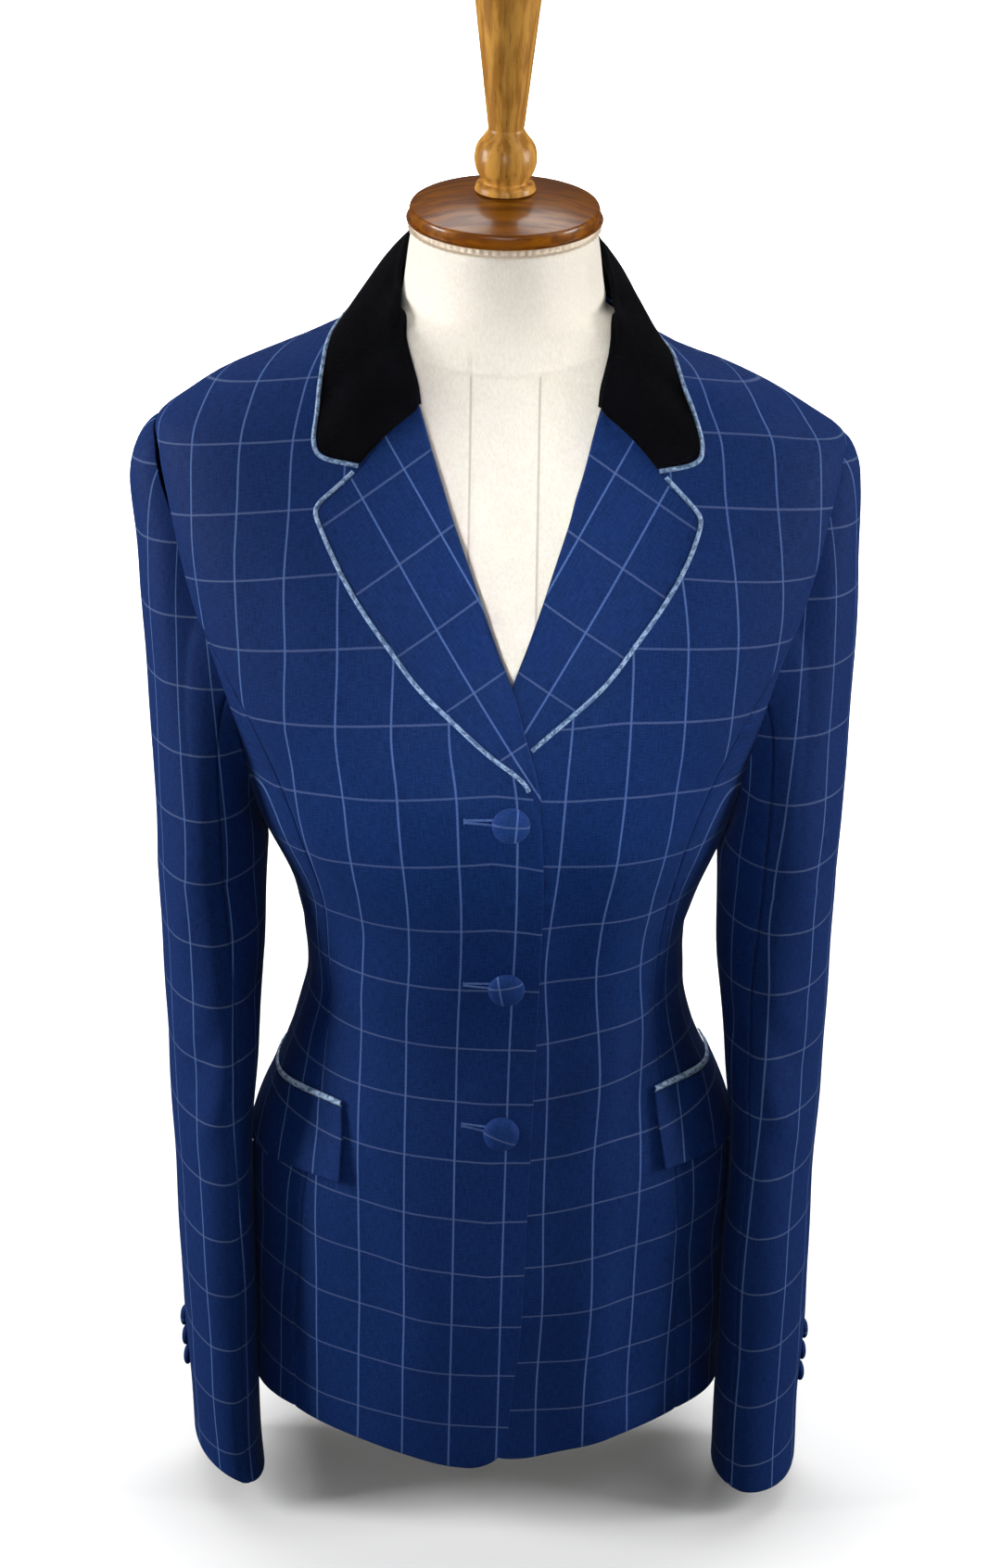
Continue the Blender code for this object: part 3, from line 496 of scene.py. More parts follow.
def angle_at(x, z):
    half, _, _, power = section(z)
    return np.sign(x) * np.arcsin(np.minimum(1.0, (np.abs(x) / half) ** (power / 2)))


# Length round the body for each radian
def speed(angle, z):
    step = 0.01
    return np.linalg.norm(body(angle + step, z) - body(angle - step, z), axis=-1) / (2 * step)


# Length round the body from the front to an angle, at one height
def round_length(angle, z):
    turns = np.linspace(-math.pi, math.pi, ROUND_STEPS + 1)
    lengths = travelled(body(turns, z))
    return np.interp(angle, turns, lengths - lengths[ROUND_STEPS // 2])


# The same for each row of a grid, at the row's mean height
def row_lengths(angle, level):
    return np.stack([round_length(a, float(z.mean())) for a, z in zip(angle, level)])


# How far outside the coat points lie, and the way out
def outside(p):
    half, front, back, power = section(np.clip(p[:, 2], HEM_Z, NECK_Z))
    depth = np.where(p[:, 1] < 0, front, back)
    return ((np.abs(p[:, 0]) / half) ** power + (np.abs(p[:, 1]) / depth) ** power) ** (1 / power)


def pushed_out(p, gap):
    p = np.array(p, float)
    for _ in range(8):
        slope = np.stack([outside(p + d) - outside(p - d) for d in np.eye(3) * PROBE], axis=1) / (2 * PROBE)
        size = np.linalg.norm(slope, axis=1, keepdims=True)
        away = (outside(p)[:, None] - 1) / size
        p = p + slope / size * np.maximum(gap - away, 0.0)
    return p


# The worn coat departs a little from its even sections at the shoulders
def settled(points):
    p = np.array(points, float)
    x, y, z = np.moveaxis(p, -1, 0).copy()
    drop = np.where(x < 0, smooth(SHOULDER_DROP[-1], 1, -x), smooth(SHOULDER_DROP[1], 1, x))
    crest = ramp(-0.050, -0.012, y) * (1 - ramp(0.040, 0.080, y))
    p[..., 2] = z - drop * crest * ramp(0.600, 0.668, z) * ramp(0.050, 0.062, np.abs(x))
    return p


# Node materials
class Look:
    def __init__(self, name):
        self.material = bpy.data.materials.new(name)
        self.material.use_nodes = True
        self.tree = self.material.node_tree
        self.shader = self.tree.nodes["Principled BSDF"]

    def feed(self, socket, value):
        if isinstance(value, bpy.types.NodeSocket):
            self.tree.links.new(value, socket)
        else:
            socket.default_value = value

    def put(self, kind, inputs, **settings):
        made = self.tree.nodes.new(kind)
        for key, value in settings.items():
            setattr(made, key, value)
        for key, value in inputs.items():
            self.feed(made.inputs[key], value)
        return made

    def surface(self, inputs):
        for key, value in inputs.items():
            self.feed(self.shader.inputs[key], value)

    def calc(self, operation, a, b=0.0):
        return self.put("ShaderNodeMath", {0: a, 1: b}, operation=operation).outputs[0]

    # Sum of two values, each times its share
    def blend(self, a, a_share, b, b_share):
        return self.calc("ADD", self.calc("MULTIPLY", a, a_share), self.calc("MULTIPLY", b, b_share))

    def between(self, value, low, high, first=0.0, last=1.0):
        inputs = {"Value": value, "From Min": low, "From Max": high, "To Min": first, "To Max": last}
        return self.put("ShaderNodeMapRange", inputs, interpolation_type="SMOOTHSTEP").outputs[0]

    def mix(self, share, a, b):
        return self.put("ShaderNodeMix", {0: share, 6: a, 7: b}, data_type="RGBA").outputs[2]

    def scaled(self, vector, scale):
        return self.put("ShaderNodeMapping", {"Vector": vector, "Scale": scale}).outputs[0]

    def noise(self, vector, scale, detail=2.0):
        inputs = {"Vector": vector, "Scale": scale, "Detail": detail}
        return self.put("ShaderNodeTexNoise", inputs).outputs["Fac"]

    # Noise of another size along each axis
    def grain(self, vector, stretch, detail):
        return self.noise(self.scaled(vector, stretch), 1.0, detail)

    def bump(self, height, strength, distance):
        inputs = {"Height": height, "Strength": strength, "Distance": distance}
        return self.put("ShaderNodeBump", inputs).outputs[0]

    def cloth_map(self):
        return self.put("ShaderNodeUVMap", {}, uv_map="cloth").outputs[0]

    def object_map(self):
        return self.put("ShaderNodeTexCoord", {}).outputs["Object"]


# Colours
NAVY_DARK = (0.0020, 0.0128, 0.0720, 1.0)
NAVY_LIGHT = (0.0062, 0.0290, 0.1390, 1.0)
# Lighter copy of the navy for the front buttons: painted highlight where light falls on their domes
LIT_NAVY_DARK = (0.0040, 0.0200, 0.1000, 1.0)
LIT_NAVY_LIGHT = (0.0110, 0.0420, 0.1800, 1.0)
LINE_UP = (0.080, 0.150, 0.350, 1.0)
LINE_ACROSS = (0.085, 0.125, 0.250, 1.0)
SHEEN_NAVY = (0.35, 0.48, 0.85, 1.0)
VELVET_DARK = (0.0005, 0.0006, 0.0012, 1.0)
VELVET_LIGHT = (0.0022, 0.0023, 0.0038, 1.0)
SHEEN_VELVET = (0.62, 0.56, 0.56, 1.0)
THREAD_DARK = (0.030, 0.075, 0.230, 1.0)
THREAD_LIGHT = (0.085, 0.165, 0.400, 1.0)
SEAM_SHADE = (0.420, 0.360, 0.280, 1.0)
PORE = (0.075, 0.026, 0.006, 1.0)
PAPER = (0.86, 0.86, 0.86, 1.0)
LINE_HALF = {"X": 0.020, "Y": 0.016}  # half width of the check's lines, as a share of its repeat


# Navy worsted with a windowpane check: lines at whole numbers of the cloth map
def check_look(name, dark, light):
    look = Look(name)
    place = look.cloth_map()
    parts = look.put("ShaderNodeSeparateXYZ", {0: place}).outputs
    warp = look.grain(place, (70.0, 5.0, 1.0), 3.0)
    weft = look.grain(place, (6.0, 85.0, 1.0), 3.0)
    heather = look.noise(place, 45.0, 4.0)
    weave = look.blend(look.blend(warp, 0.40, weft, 0.40), 1.0, heather, 0.20)
    base = look.mix(look.between(weave, 0.36, 0.64), dark, light)

    # Broken line along one axis, with dashes between two strengths
    def line(axis, stretch, weak, strong):
        part = look.calc("FRACT", look.calc("ADD", parts[axis], 0.5))
        away = look.calc("ABSOLUTE", look.calc("SUBTRACT", part, 0.5))
        edge = look.between(away, LINE_HALF[axis] * 0.45, LINE_HALF[axis] * 1.35, 1.0, 0.0)
        dashes = look.between(look.grain(place, stretch, 2.0), 0.30, 0.62, weak, strong)
        return look.calc("MULTIPLY", edge, dashes)

    up = line("X", (30.0, 62.0, 1.0), 0.55, 1.0)
    across = line("Y", (55.0, 30.0, 1.0), 0.35, 0.85)
    colour = look.mix(up, look.mix(across, base, LINE_ACROSS), LINE_UP)
    threads = look.blend(weave, 1.0, look.calc("MAXIMUM", up, across), 0.35)
    look.surface({
        "Base Color": colour,
        "Roughness": look.between(weave, 0.3, 0.7, 0.78, 0.66),
        "Normal": look.bump(threads, 0.35, 0.0004),
        "Specular IOR Level": 0.10,
        "Sheen Weight": 0.025,
        "Sheen Roughness": 0.45,
        "Sheen Tint": SHEEN_NAVY,
    })
    return look.material


def velvet_look():
    look = Look("velvet")
    place = look.object_map()
    nap = look.noise(place, 900.0, 2.0)
    crush = look.noise(place, 38.0, 3.0)
    shade = look.blend(nap, 0.5, crush, 0.5)
    look.surface({
        "Base Color": look.mix(look.between(shade, 0.35, 0.68), VELVET_DARK, VELVET_LIGHT),
        "Roughness": look.between(nap, 0.3, 0.7, 0.95, 0.80),
        "Normal": look.bump(nap, 0.5, 0.0003),
        "Specular IOR Level": 0.05,
        "Sheen Weight": 0.030,
        "Sheen Roughness": 0.22,
        "Sheen Tint": SHEEN_VELVET,
    })
    return look.material


def brocade_look(name, deep, pale, fleck):
    look = Look(name)
    place = look.cloth_map()
    figure = look.grain(place, (0.42, 0.9, 1.0), 4.0)
    flecks = look.grain(place, (2.6, 2.2, 1.0), 2.0)
    threads = look.grain(place, (3.0, 14.0, 1.0), 1.0)
    ground = look.mix(look.between(figure, 0.42, 0.58), deep, pale)
    bright = look.calc("MULTIPLY", look.between(flecks, 0.50, 0.60), look.between(figure, 0.40, 0.55))
    look.surface({
        "Base Color": look.mix(bright, ground, fleck),
        "Roughness": look.between(flecks, 0.4, 0.6, 0.52, 0.34),
        "Normal": look.bump(look.blend(bright, 0.7, threads, 0.5), 0.5, 0.0004),
        "Specular IOR Level": 0.55,
        "Sheen Weight": 0.10,
    })
    return look.material


def thread_look():
    look = Look("buttonhole_thread")
    twist = look.grain(look.object_map(), (2600.0, 900.0, 900.0), 2.0)
    look.surface({
        "Base Color": look.mix(look.between(twist, 0.35, 0.65), THREAD_DARK, THREAD_LIGHT),
        "Roughness": look.between(twist, 0.3, 0.7, 0.62, 0.42),
        "Normal": look.bump(twist, 0.4, 0.0002),
    })
    return look.material


# Knitted cover of the form; seams are x places of its upright seams
def cover_look(name, pale, deep, seams=()):
    look = Look(name)
    place = look.object_map()
    parts = look.put("ShaderNodeSeparateXYZ", {0: place}).outputs
    knit = look.grain(place, (900.0, 900.0, 420.0), 2.0)
    cloud = look.noise(place, 9.0, 3.0)
    shade = look.blend(knit, 0.45, cloud, 0.55)
    colour = look.mix(look.between(shade, 0.35, 0.65), deep, pale)
    torso = look.between(parts["Z"], 0.696, 0.702, 1.0, 0.0)
    for x in seams:
        away = look.calc("ABSOLUTE", look.calc("SUBTRACT", parts["X"], x))
        line = look.calc("MULTIPLY", look.between(away, 0.0003, 0.0009, 0.55, 0.0), torso)
        colour = look.mix(line, colour, SEAM_SHADE)
    look.surface({
        "Base Color": colour,
        "Roughness": look.between(knit, 0.3, 0.7, 0.90, 0.75),
        "Normal": look.bump(knit, 0.25, 0.0003),
        "Specular IOR Level": 0.25,
        "Sheen Weight": 0.10,
    })
    return look.material


def wood_look(name, stretch, deep, pale, coat_weight):
    look = Look(name)
    place = look.scaled(look.object_map(), stretch)
    grain = look.noise(place, 1.0, 6.0)
    pores = look.grain(place, (3.0, 3.0, 3.0), 3.0)
    colour = look.mix(look.between(grain, 0.38, 0.62), deep, pale)
    look.surface({
        "Base Color": look.mix(look.between(pores, 0.60, 0.76, 0.0, 0.45), colour, PORE),
        "Roughness": look.between(grain, 0.3, 0.7, 0.42, 0.30),
        "Normal": look.bump(pores, 0.12, 0.0003),
        "Specular IOR Level": 0.20,
        "Coat Weight": coat_weight,
        "Coat Roughness": 0.16,
    })
    return look.material


CHECK = check_look("check_cloth", NAVY_DARK, NAVY_LIGHT)
# Lighter copy of the check cloth, a painted highlight for the front buttons
CHECK_LIT = check_look("check_cloth_lit", LIT_NAVY_DARK, LIT_NAVY_LIGHT)
VELVET = velvet_look()
BROCADE = brocade_look(
    "brocade", (0.055, 0.120, 0.240, 1.0), (0.190, 0.320, 0.520, 1.0), (0.480, 0.590, 0.720, 1.0))
# Lighter copy of the brocade for the pocket welts: painted highlight
BROCADE_LIT = brocade_look(
    "brocade_lit", (0.085, 0.180, 0.340, 1.0), (0.300, 0.470, 0.700, 1.0), (0.700, 0.810, 0.930, 1.0))
THREAD = thread_look()
COVER = cover_look("form_cover", (0.890, 0.845, 0.755, 1.0), (0.800, 0.740, 0.640, 1.0), FORM_SEAMS)
RIB = cover_look("form_rib", (0.840, 0.760, 0.640, 1.0), (0.640, 0.540, 0.420, 1.0))
WOOD_CAP = wood_look(
    "wood_cap", (22.0, 210.0, 210.0), (0.150, 0.040, 0.001, 1.0), (0.270, 0.086, 0.002, 1.0), 0.40)
WOOD_TURNED = wood_look(
    "wood_turned", (210.0, 210.0, 24.0), (0.360, 0.155, 0.024, 1.0), (0.620, 0.310, 0.060, 1.0), 0.12)


# A piece of the object in place of CAD nodes
def keep(name, data, look, nodes=(), matrix=None):
    made = bpy.data.objects.new(name, data)
    data.materials.append(look)
    data.shade_smooth()
    bpy.context.scene.collection.objects.link(made)
    if matrix is not None:
        made.matrix_world = Matrix(matrix.tolist())
        bpy.context.view_layer.update()
    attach(made, "root")
    if nodes:
        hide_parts(*nodes)
    return made


def quads_of(rows, cols, around=False):
    index = np.arange(rows * cols).reshape(rows, cols)
    if around:
        index = np.concatenate([index, index[:, :1]], axis=1)
    corners = [index[:-1, :-1], index[:-1, 1:], index[1:, 1:], index[1:, :-1]]
    return np.stack(corners, axis=-1).reshape(-1, 4)


# Faces of a tube of rings, closed at both ends
def tube_faces(rings, sides, flip=False):
    faces = quads_of(rings, sides, True).tolist()
    faces.append(list(range(sides))[::-1])
    faces.append(list(range((rings - 1) * sides, rings * sides)))
    return [face[::-1] for face in faces] if flip else faces


def mesh_of(name, points, faces, uv=None):
    data = bpy.data.meshes.new(name)
    data.from_pydata(settled(points).reshape(-1, 3).tolist(), [], faces)
    if uv is not None:
        corners = np.concatenate([np.asarray(face) for face in faces])
        layer = data.uv_layers.new(name="cloth")
        layer.data.foreach_set("uv", np.asarray(uv, np.float32).reshape(-1, 2)[corners].ravel())
    return data


# Sheet of cloth on a grid of points, thickened inward
def cloth(node, grid, uv, outward, look=CHECK, held="hung",
          wall=WALL):
    name = "cloth_" + node
    rows, cols = grid.shape[:2]
    quads = quads_of(rows, cols)
    across = grid[:-1, 1:] - grid[:-1, :-1]
    along = grid[1:, :-1] - grid[:-1, :-1]
    if np.sum(np.cross(across, along) * outward[:-1, :-1]) < 0:
        quads = quads[:, ::-1]
    made = keep(name, mesh_of(name, grid, quads.tolist(), uv), look, (node,))
    thick = made.modifiers.new("thickness", "SOLIDIFY")
    thick.thickness = wall
    thick.offset = -1.0
    if held is None:
        return


def full_turn(sides):
    return np.linspace(0.0, 2 * math.pi, sides, endpoint=False)


# Solid of revolution; check is the turn and the shift of the cloth's check on it
def turned(name, profile, sides, look, node, origin, axis, scale=1.0, check=None, ribs=0):
    points = finer(np.array(profile) * scale, 6 * len(profile) - 5)[1:-1]
    turns = full_turn(sides)
    swell = 1.0 + RIB_SWELL * np.cos(ribs * turns) * (ribs > 0)
    radius = np.maximum(points[:, :1], 0.00002) * swell[None, :]
    heights = np.repeat(points[:, 1:], sides, axis=1)
    ring = np.stack([radius * np.cos(turns), radius * np.sin(turns), heights], axis=-1)
    z_axis = unit(np.asarray(axis, float))
    aside = np.array([0.0, -1.0, 0.0]) if abs(z_axis[1]) < 0.9 else UP
    x_axis = unit(np.cross(aside, z_axis))
    matrix = np.eye(4)
    matrix[:3, 0] = x_axis
    matrix[:3, 1] = np.cross(z_axis, x_axis)
    matrix[:3, 2] = z_axis
    matrix[:3, 3] = origin
    uv = None
    if check is not None:
        spin = math.radians(check[0])
        right, up = check[1]
        u = ring[..., 0] * math.cos(spin) - ring[..., 1] * math.sin(spin)
        v = ring[..., 0] * math.sin(spin) + ring[..., 1] * math.cos(spin)
        uv = np.stack([u / BUTTON_PITCH[0] + right, v / BUTTON_PITCH[1] + up], axis=-1)
    keep(name, mesh_of(name, ring, tube_faces(len(points), sides), uv), look, (node,), matrix)


# Round cord sewn along an edge
def piping(name, path, node):
    path = np.asarray(path)
    way = unit(np.gradient(path, axis=0))
    across = unit(np.cross(way, np.array([0.0, -1.0, 0.2])))
    other = np.cross(way, across)
    turns = full_turn(PIPE_SIDES)
    ring = across[:, None] * np.cos(turns)[None, :, None] + other[:, None] * np.sin(turns)[None, :, None]
    u = np.repeat(travelled(path)[:, None] / BROCADE_REPEAT, PIPE_SIDES, axis=1)
    v = np.repeat((turns / 2.0)[None, :], len(path), axis=0)
    faces = tube_faces(len(path), PIPE_SIDES, flip=True)
    data = mesh_of(name, path[:, None] + ring * PIPE, faces, np.stack([u, v], axis=-1))
    keep(name, data, BROCADE, (node,))


# Where the coat's seams and edges run
def layer(side, x, z):
    if side < 0:
        return 0.0 * x
    return -UNDER * (1 - ramp(*UNDER_WIDE, x)) * (1 - ramp(*UNDER_HIGH, z))


def hem(side, x):
    level = smooth(HEM[side], 1, x * side)
    edge = FRONT_EDGE[0][1] if side < 0 else UNDER_EDGE_X
    near = np.clip(((edge - x) * side + CORNER) / CORNER, 0.0, 1.0)
    return level + CORNER * (1 - np.sqrt(1 - near ** 2))


def bottom(z, level):
    return z + (level - HEM_Z) * (1 - ramp(HEM_Z, HEM_REACH, z))


def roll(side, z):
    return side * smooth(LAPEL[side], 1, z)


def inner_edge(side, z):
    z = np.asarray(z, float)
    last = LAPEL[side][-1]
    t = (z - last[0]) / (NECK_Z - last[0])
    hollow = NECK_HOLLOW * np.sin(math.pi * np.clip(t, 0.0, 1.0)) if side > 0 else 0.0
    neck = side * (last[1] + (NECK_EDGE_X - last[1]) * t + hollow)
    low = smooth(FRONT_EDGE, 1, z) if side < 0 else UNDER_EDGE_X + 0.0 * z
    break_z = BREAK_Z if side < 0 else UNDER_BREAK_Z
    return np.where(z < break_z, low, np.where(z > last[0], neck, roll(side, z)))


# Angle of a seam, which runs on up along the armhole
def seam_angle(z, low, column):
    high = np.radians(smooth(ARMHOLE, column, z))
    return np.where(z <= SIDE_TOP_Z, low, np.where(z < SHOULDER_Z, high, math.pi / 2))


def outer_angle(z):
    z = np.asarray(z, float)
    return seam_angle(z, angle_at(smooth(PANEL_SEAM, 1, z), z), 1)


def back_angle(z):
    z = np.asarray(z, float)
    return seam_angle(z, np.radians(smooth(BACK_SEAM, 1, z)), 2)


# Half of a seam's gap, as an angle
def half_gap(angle, z):
    return SEAM / 2 / speed(angle, z)


# Soft folds laid along short lines
def creased(x, z, table):
    out = 0.0 * x
    for x0, z0, x1, z1, width, depth in table:
        dx = x1 - x0
        dz = z1 - z0
        t = ((x - x0) * dx + (z - z0) * dz) / (dx * dx + dz * dz)
        inside = np.clip(t, 0.0, 1.0)
        away = np.hypot(x - x0 - inside * dx, z - z0 - inside * dz)
        fade = np.sin(math.pi * np.clip(t * 0.9 + 0.05, 0.0, 1.0)) ** 0.8
        out = out + depth * hump(away, width) * fade
    return out


# Slight unevenness that every worn cloth has
def uneven(s, z):
    wave = np.sin(61.0 * s + 23.0 * z + 0.7) + np.sin(37.0 * s - 49.0 * z + 2.1)
    return UNEVEN * (wave + np.sin(83.0 * z + 29.0 * s))


def body_folds(name, x, level, shift=0.0):
    folds = creased(x, level, CREASES[name]) + uneven(x + shift, level)
    return folds * (1 - 0.8 * ramp(0.60, 0.66, level))


def valley(distance):
    return -DIP * hump(distance, DIP_WIDTH)


# Creases die out at a seam
def calm(distance):
    return 1 - hump(distance, CALM)


# Check of the coat: how far its rows rise, and the number of the row at a height
def row_rise(side, x, level):
    column = ROW_COLUMN[side]
    rise = straight(ROW_RISE, column, level) * x + straight(ROW_BEND, column, level) * x * x
    return rise + (straight(ROW_RISE, 3, level) if side > 0 else 0.0)


def row_number(level):
    return np.interp(level, ROW_HEIGHTS, np.arange(len(ROW_HEIGHTS)))


# Check of a front at angles and heights; rows of the grid share one height
def front_check(side, angle, level):
    start = angle_at(smooth(LINE[side], 1, level), level.mean(axis=1, keepdims=True))
    u = (row_lengths(angle, level) - row_lengths(start, level)) / smooth(LINE_PITCH, 1, level)
    x = np.abs(body(angle, level)[..., 0])
    rise = row_rise(side, x, level) + ROW_SAG * layer(side, x, level)
    return np.stack([u, row_number(level - rise)], axis=-1)


SHORT = 0.0008  # first and last row of a panel, for a crisp edge
BODY_ROWS = np.unique(np.concatenate([
    np.linspace(HEM_Z, NECK_Z, 176),
    [HEM_Z + SHORT, NECK_Z - SHORT, BREAK_Z, UNDER_BREAK_Z, SIDE_TOP_Z, SHOULDER_Z],
]))


def front(side_name, side):
    name = "front_" + side_name
    z = BODY_ROWS[:, None]
    near = np.linspace(0.0, 0.12, 15)[1:]
    far = np.linspace(0.12, 1.0, 62)[1:-1]
    across = np.concatenate([[0.0, 0.005], near, far, [0.993, 1.0]])[None, :]
    first = angle_at(inner_edge(side, z), z)
    last = side * (outer_angle(z) - half_gap(outer_angle(z), z))
    angle = first + (last - first) * across
    x = body(angle, z)[..., 0]
    level = bottom(z, hem(side, x))
    wide = np.abs(last - first) * speed(outer_angle(z), z)
    from_seam = (1 - across) * wide
    out = layer(side, x, level) + body_folds(name, x, level) * calm(from_seam)
    out = out + valley(from_seam) * (z < SIDE_TOP_Z)
    if side < 0:
        edge_lift = EDGE_LIFT * (1 - ramp(BREAK_Z - CURL_END, BREAK_Z, level))
        out = out + edge_lift * hump(across * wide, EDGE_WIDTH)
    grid = coat(angle, level, out)
    cloth(name, grid, front_check(side, angle, level), grid * FLAT)


def back(side_name, side):
    name = "back_" + side_name
    z = BODY_ROWS[:, None]
    across = strips(64, 0.006)[None, :]
    first = math.pi - half_gap(math.pi, z)
    last = back_angle(z) + half_gap(back_angle(z), z)
    angle = side * (first + (last - first) * across)
    x = body(angle, z)[..., 0]
    level = bottom(z, BACK_HEM_Z) + 0.0 * x
    wide = np.abs(last - first) * speed(back_angle(z), z)
    from_seam = (1 - across) * wide
    from_middle = across * wide
    out = body_folds(name, x, level, 0.4) * calm(from_seam) * calm(from_middle)
    out = out + valley(from_seam) * (z < SIDE_TOP_Z) + valley(from_middle)
    grid = coat(angle, level, out)
    lengths = row_lengths(np.full_like(angle, math.pi), level) - row_lengths(np.abs(angle), level)
    u = side * (lengths / smooth(LINE_PITCH, 1, level) + 0.5)
    cloth(name, grid, np.stack([u, row_number(level)], axis=-1), grid * FLAT)


def armhole_foot(t):
    w = np.abs(2 * t - 1)
    k = 0.25
    share = (np.hypot(w, k) - k) / (math.hypot(1, k) - k)
    return UNDERARM_Z + (SIDE_TOP_Z - UNDERARM_Z) * share


def side_place(side, t, z):
    first = outer_angle(z) + half_gap(outer_angle(z), z)
    last = back_angle(z) - half_gap(back_angle(z), z)
    angle = first + (last - first) * t
    x = body(angle, z)[..., 0]
    front_hem = smooth(HEM[side], 1, x)
    level = bottom(z, BACK_HEM_Z + (front_hem - BACK_HEM_Z) * (1 - ramp(0.0, 0.7, t)))
    return side * angle, level, (last - first) * speed(first, z)


def side_panel(side_name, side):
    t = strips(44, 0.009)[None, :]
    share = strips(130, 0.0015)[:, None]
    z = HEM_Z + (armhole_foot(t) - HEM_Z) * share
    angle, level, wide = side_place(side, t, z)
    out = uneven(angle * 0.12, level) * calm(t * wide) * calm((1 - t) * wide)
    out = out + valley(t * wide) + valley((1 - t) * wide)
    waist = 0.0016 * hump(level - 0.335, 0.016) - 0.0014 * hump(level - 0.362 - 0.02 * t, 0.010)
    grid = coat(angle, level, out + waist * np.sin(math.pi * t) ** 2)
    lengths = np.abs(row_lengths(angle, level))
    u = side * (lengths - lengths[:, :1] - SIDE_LINE) / smooth(LINE_PITCH, 1, level)
    rise = row_rise(side, np.abs(grid[..., 0]), level) * (1 - ramp(0.0, 1.0, t))
    cloth("side_panel_" + side_name, grid, np.stack([u, row_number(level - rise)], axis=-1), grid * FLAT)


# Sleeve lines run from the armhole to the cuff
def armhole(side, count):
    down = np.linspace(SHOULDER_Z, SIDE_TOP_Z, 60)
    t = np.linspace(0.0, 1.0, 81)[1:-1]
    angle, level, _ = side_place(side, t, armhole_foot(t))
    ahead = coat(side * outer_angle(down), down)
    behind = coat(side * back_angle(down[::-1]), down[::-1])
    points = np.concatenate([ahead, coat(angle, level), behind])
    lengths = travelled(points)
    spots = np.linspace(0.0, lengths[-1], count + 1)
    return np.stack([np.interp(spots, lengths, points[:, k]) for k in range(3)], axis=1)


def sleeve_section(side, z):
    return [smooth(SLEEVE[side], column, z) for column in (1, 2, 3, 4, 5)]


def ring_point(side, z, turn):
    cx, cy, hw, hd, yaw = sleeve_section(side, z)
    out = hw * signed_power(np.cos(turn), np.where(np.sin(turn) > 0, FRONT_FOLD, SLEEVE_ROUND))
    fore = -hd * signed_power(np.sin(turn), SLEEVE_ROUND)
    w = np.radians(yaw)
    x = cx + out * np.cos(w) + fore * np.sin(w)
    y = cy + fore * np.cos(w) - out * np.sin(w)
    x, y, z = np.broadcast_arrays(side * x, y, z)
    return np.stack([x, y, z], axis=-1)


def sleeve_grid(side):
    turn = np.linspace(0.0, 2 * math.pi, TURNS + 1)
    top_share = ((1 + np.cos(turn)) / 2)[:, None]
    top = armhole(side, TURNS) + np.array([side * 0.0001, 0.0, 0.0])
    end = ring_point(side, HEAD_END_Z, turn)
    reach = np.linalg.norm(end - top, axis=1, keepdims=True)
    lean = [side * (0.25 + HEAD_FULL[side] * top_share), 0.0 * top_share, 0.10 * top_share]
    begin = unit(unit(end - top) + np.concatenate(lean, axis=1)) * reach * (0.55 - 0.15 * top_share)
    s = np.concatenate([[0.0, 0.004], np.linspace(0.0, 1.0, HEAD_ROWS)[1:]])[:, None, None]
    head = hermite(s, top, begin, end, -UP * reach * 0.9)
    head[..., 0] += side * smooth(HEAD_TRIM[side], 1, head[..., 2]) * top_share[:, 0] ** 1.5
    z = np.concatenate([np.linspace(HEAD_END_Z, CUFF_Z, TUBE_ROWS)[1:-1], [CUFF_Z + SHORT, CUFF_Z]])[:, None]
    tube = ring_point(side, z, turn[None, :])
    tube[..., 2] += (1 - ramp(CUFF_Z, CUFF_REACH, z)) * CUFF_SLANT[side] * np.cos(turn)[None, :]
    return np.concatenate([head, tube])


# Turn round the sleeve of points above the plain tube, in radians between first and first + one turn
def head_turn(side, points, first):
    cx, cy, hw, hd, yaw = [float(value) for value in sleeve_section(side, HEAD_END_Z)]
    w = math.radians(yaw)
    x = side * points[..., 0] - cx
    y = points[..., 1] - cy
    fore = signed_power((x * math.sin(w) + y * math.cos(w)) / hd, 1 / SLEEVE_ROUND)
    bend = np.where(fore < 0, FRONT_FOLD, SLEEVE_ROUND)
    out = signed_power((x * math.cos(w) - y * math.sin(w)) / hw, 1 / bend)
    return (np.arctan2(-fore, out) - first) % (2 * math.pi) + first


# Halves of a sleeve: name, first step, last step, shift that puts step 0 at the outer side, start of its head
HALVES = [
    ("top_sleeve_", BACK_TURN, TURNS + FRONT_TURN, -TURNS, math.radians(-120.0)),
    ("under_sleeve_", FRONT_TURN, BACK_TURN, 0, math.radians(60.0)),
]


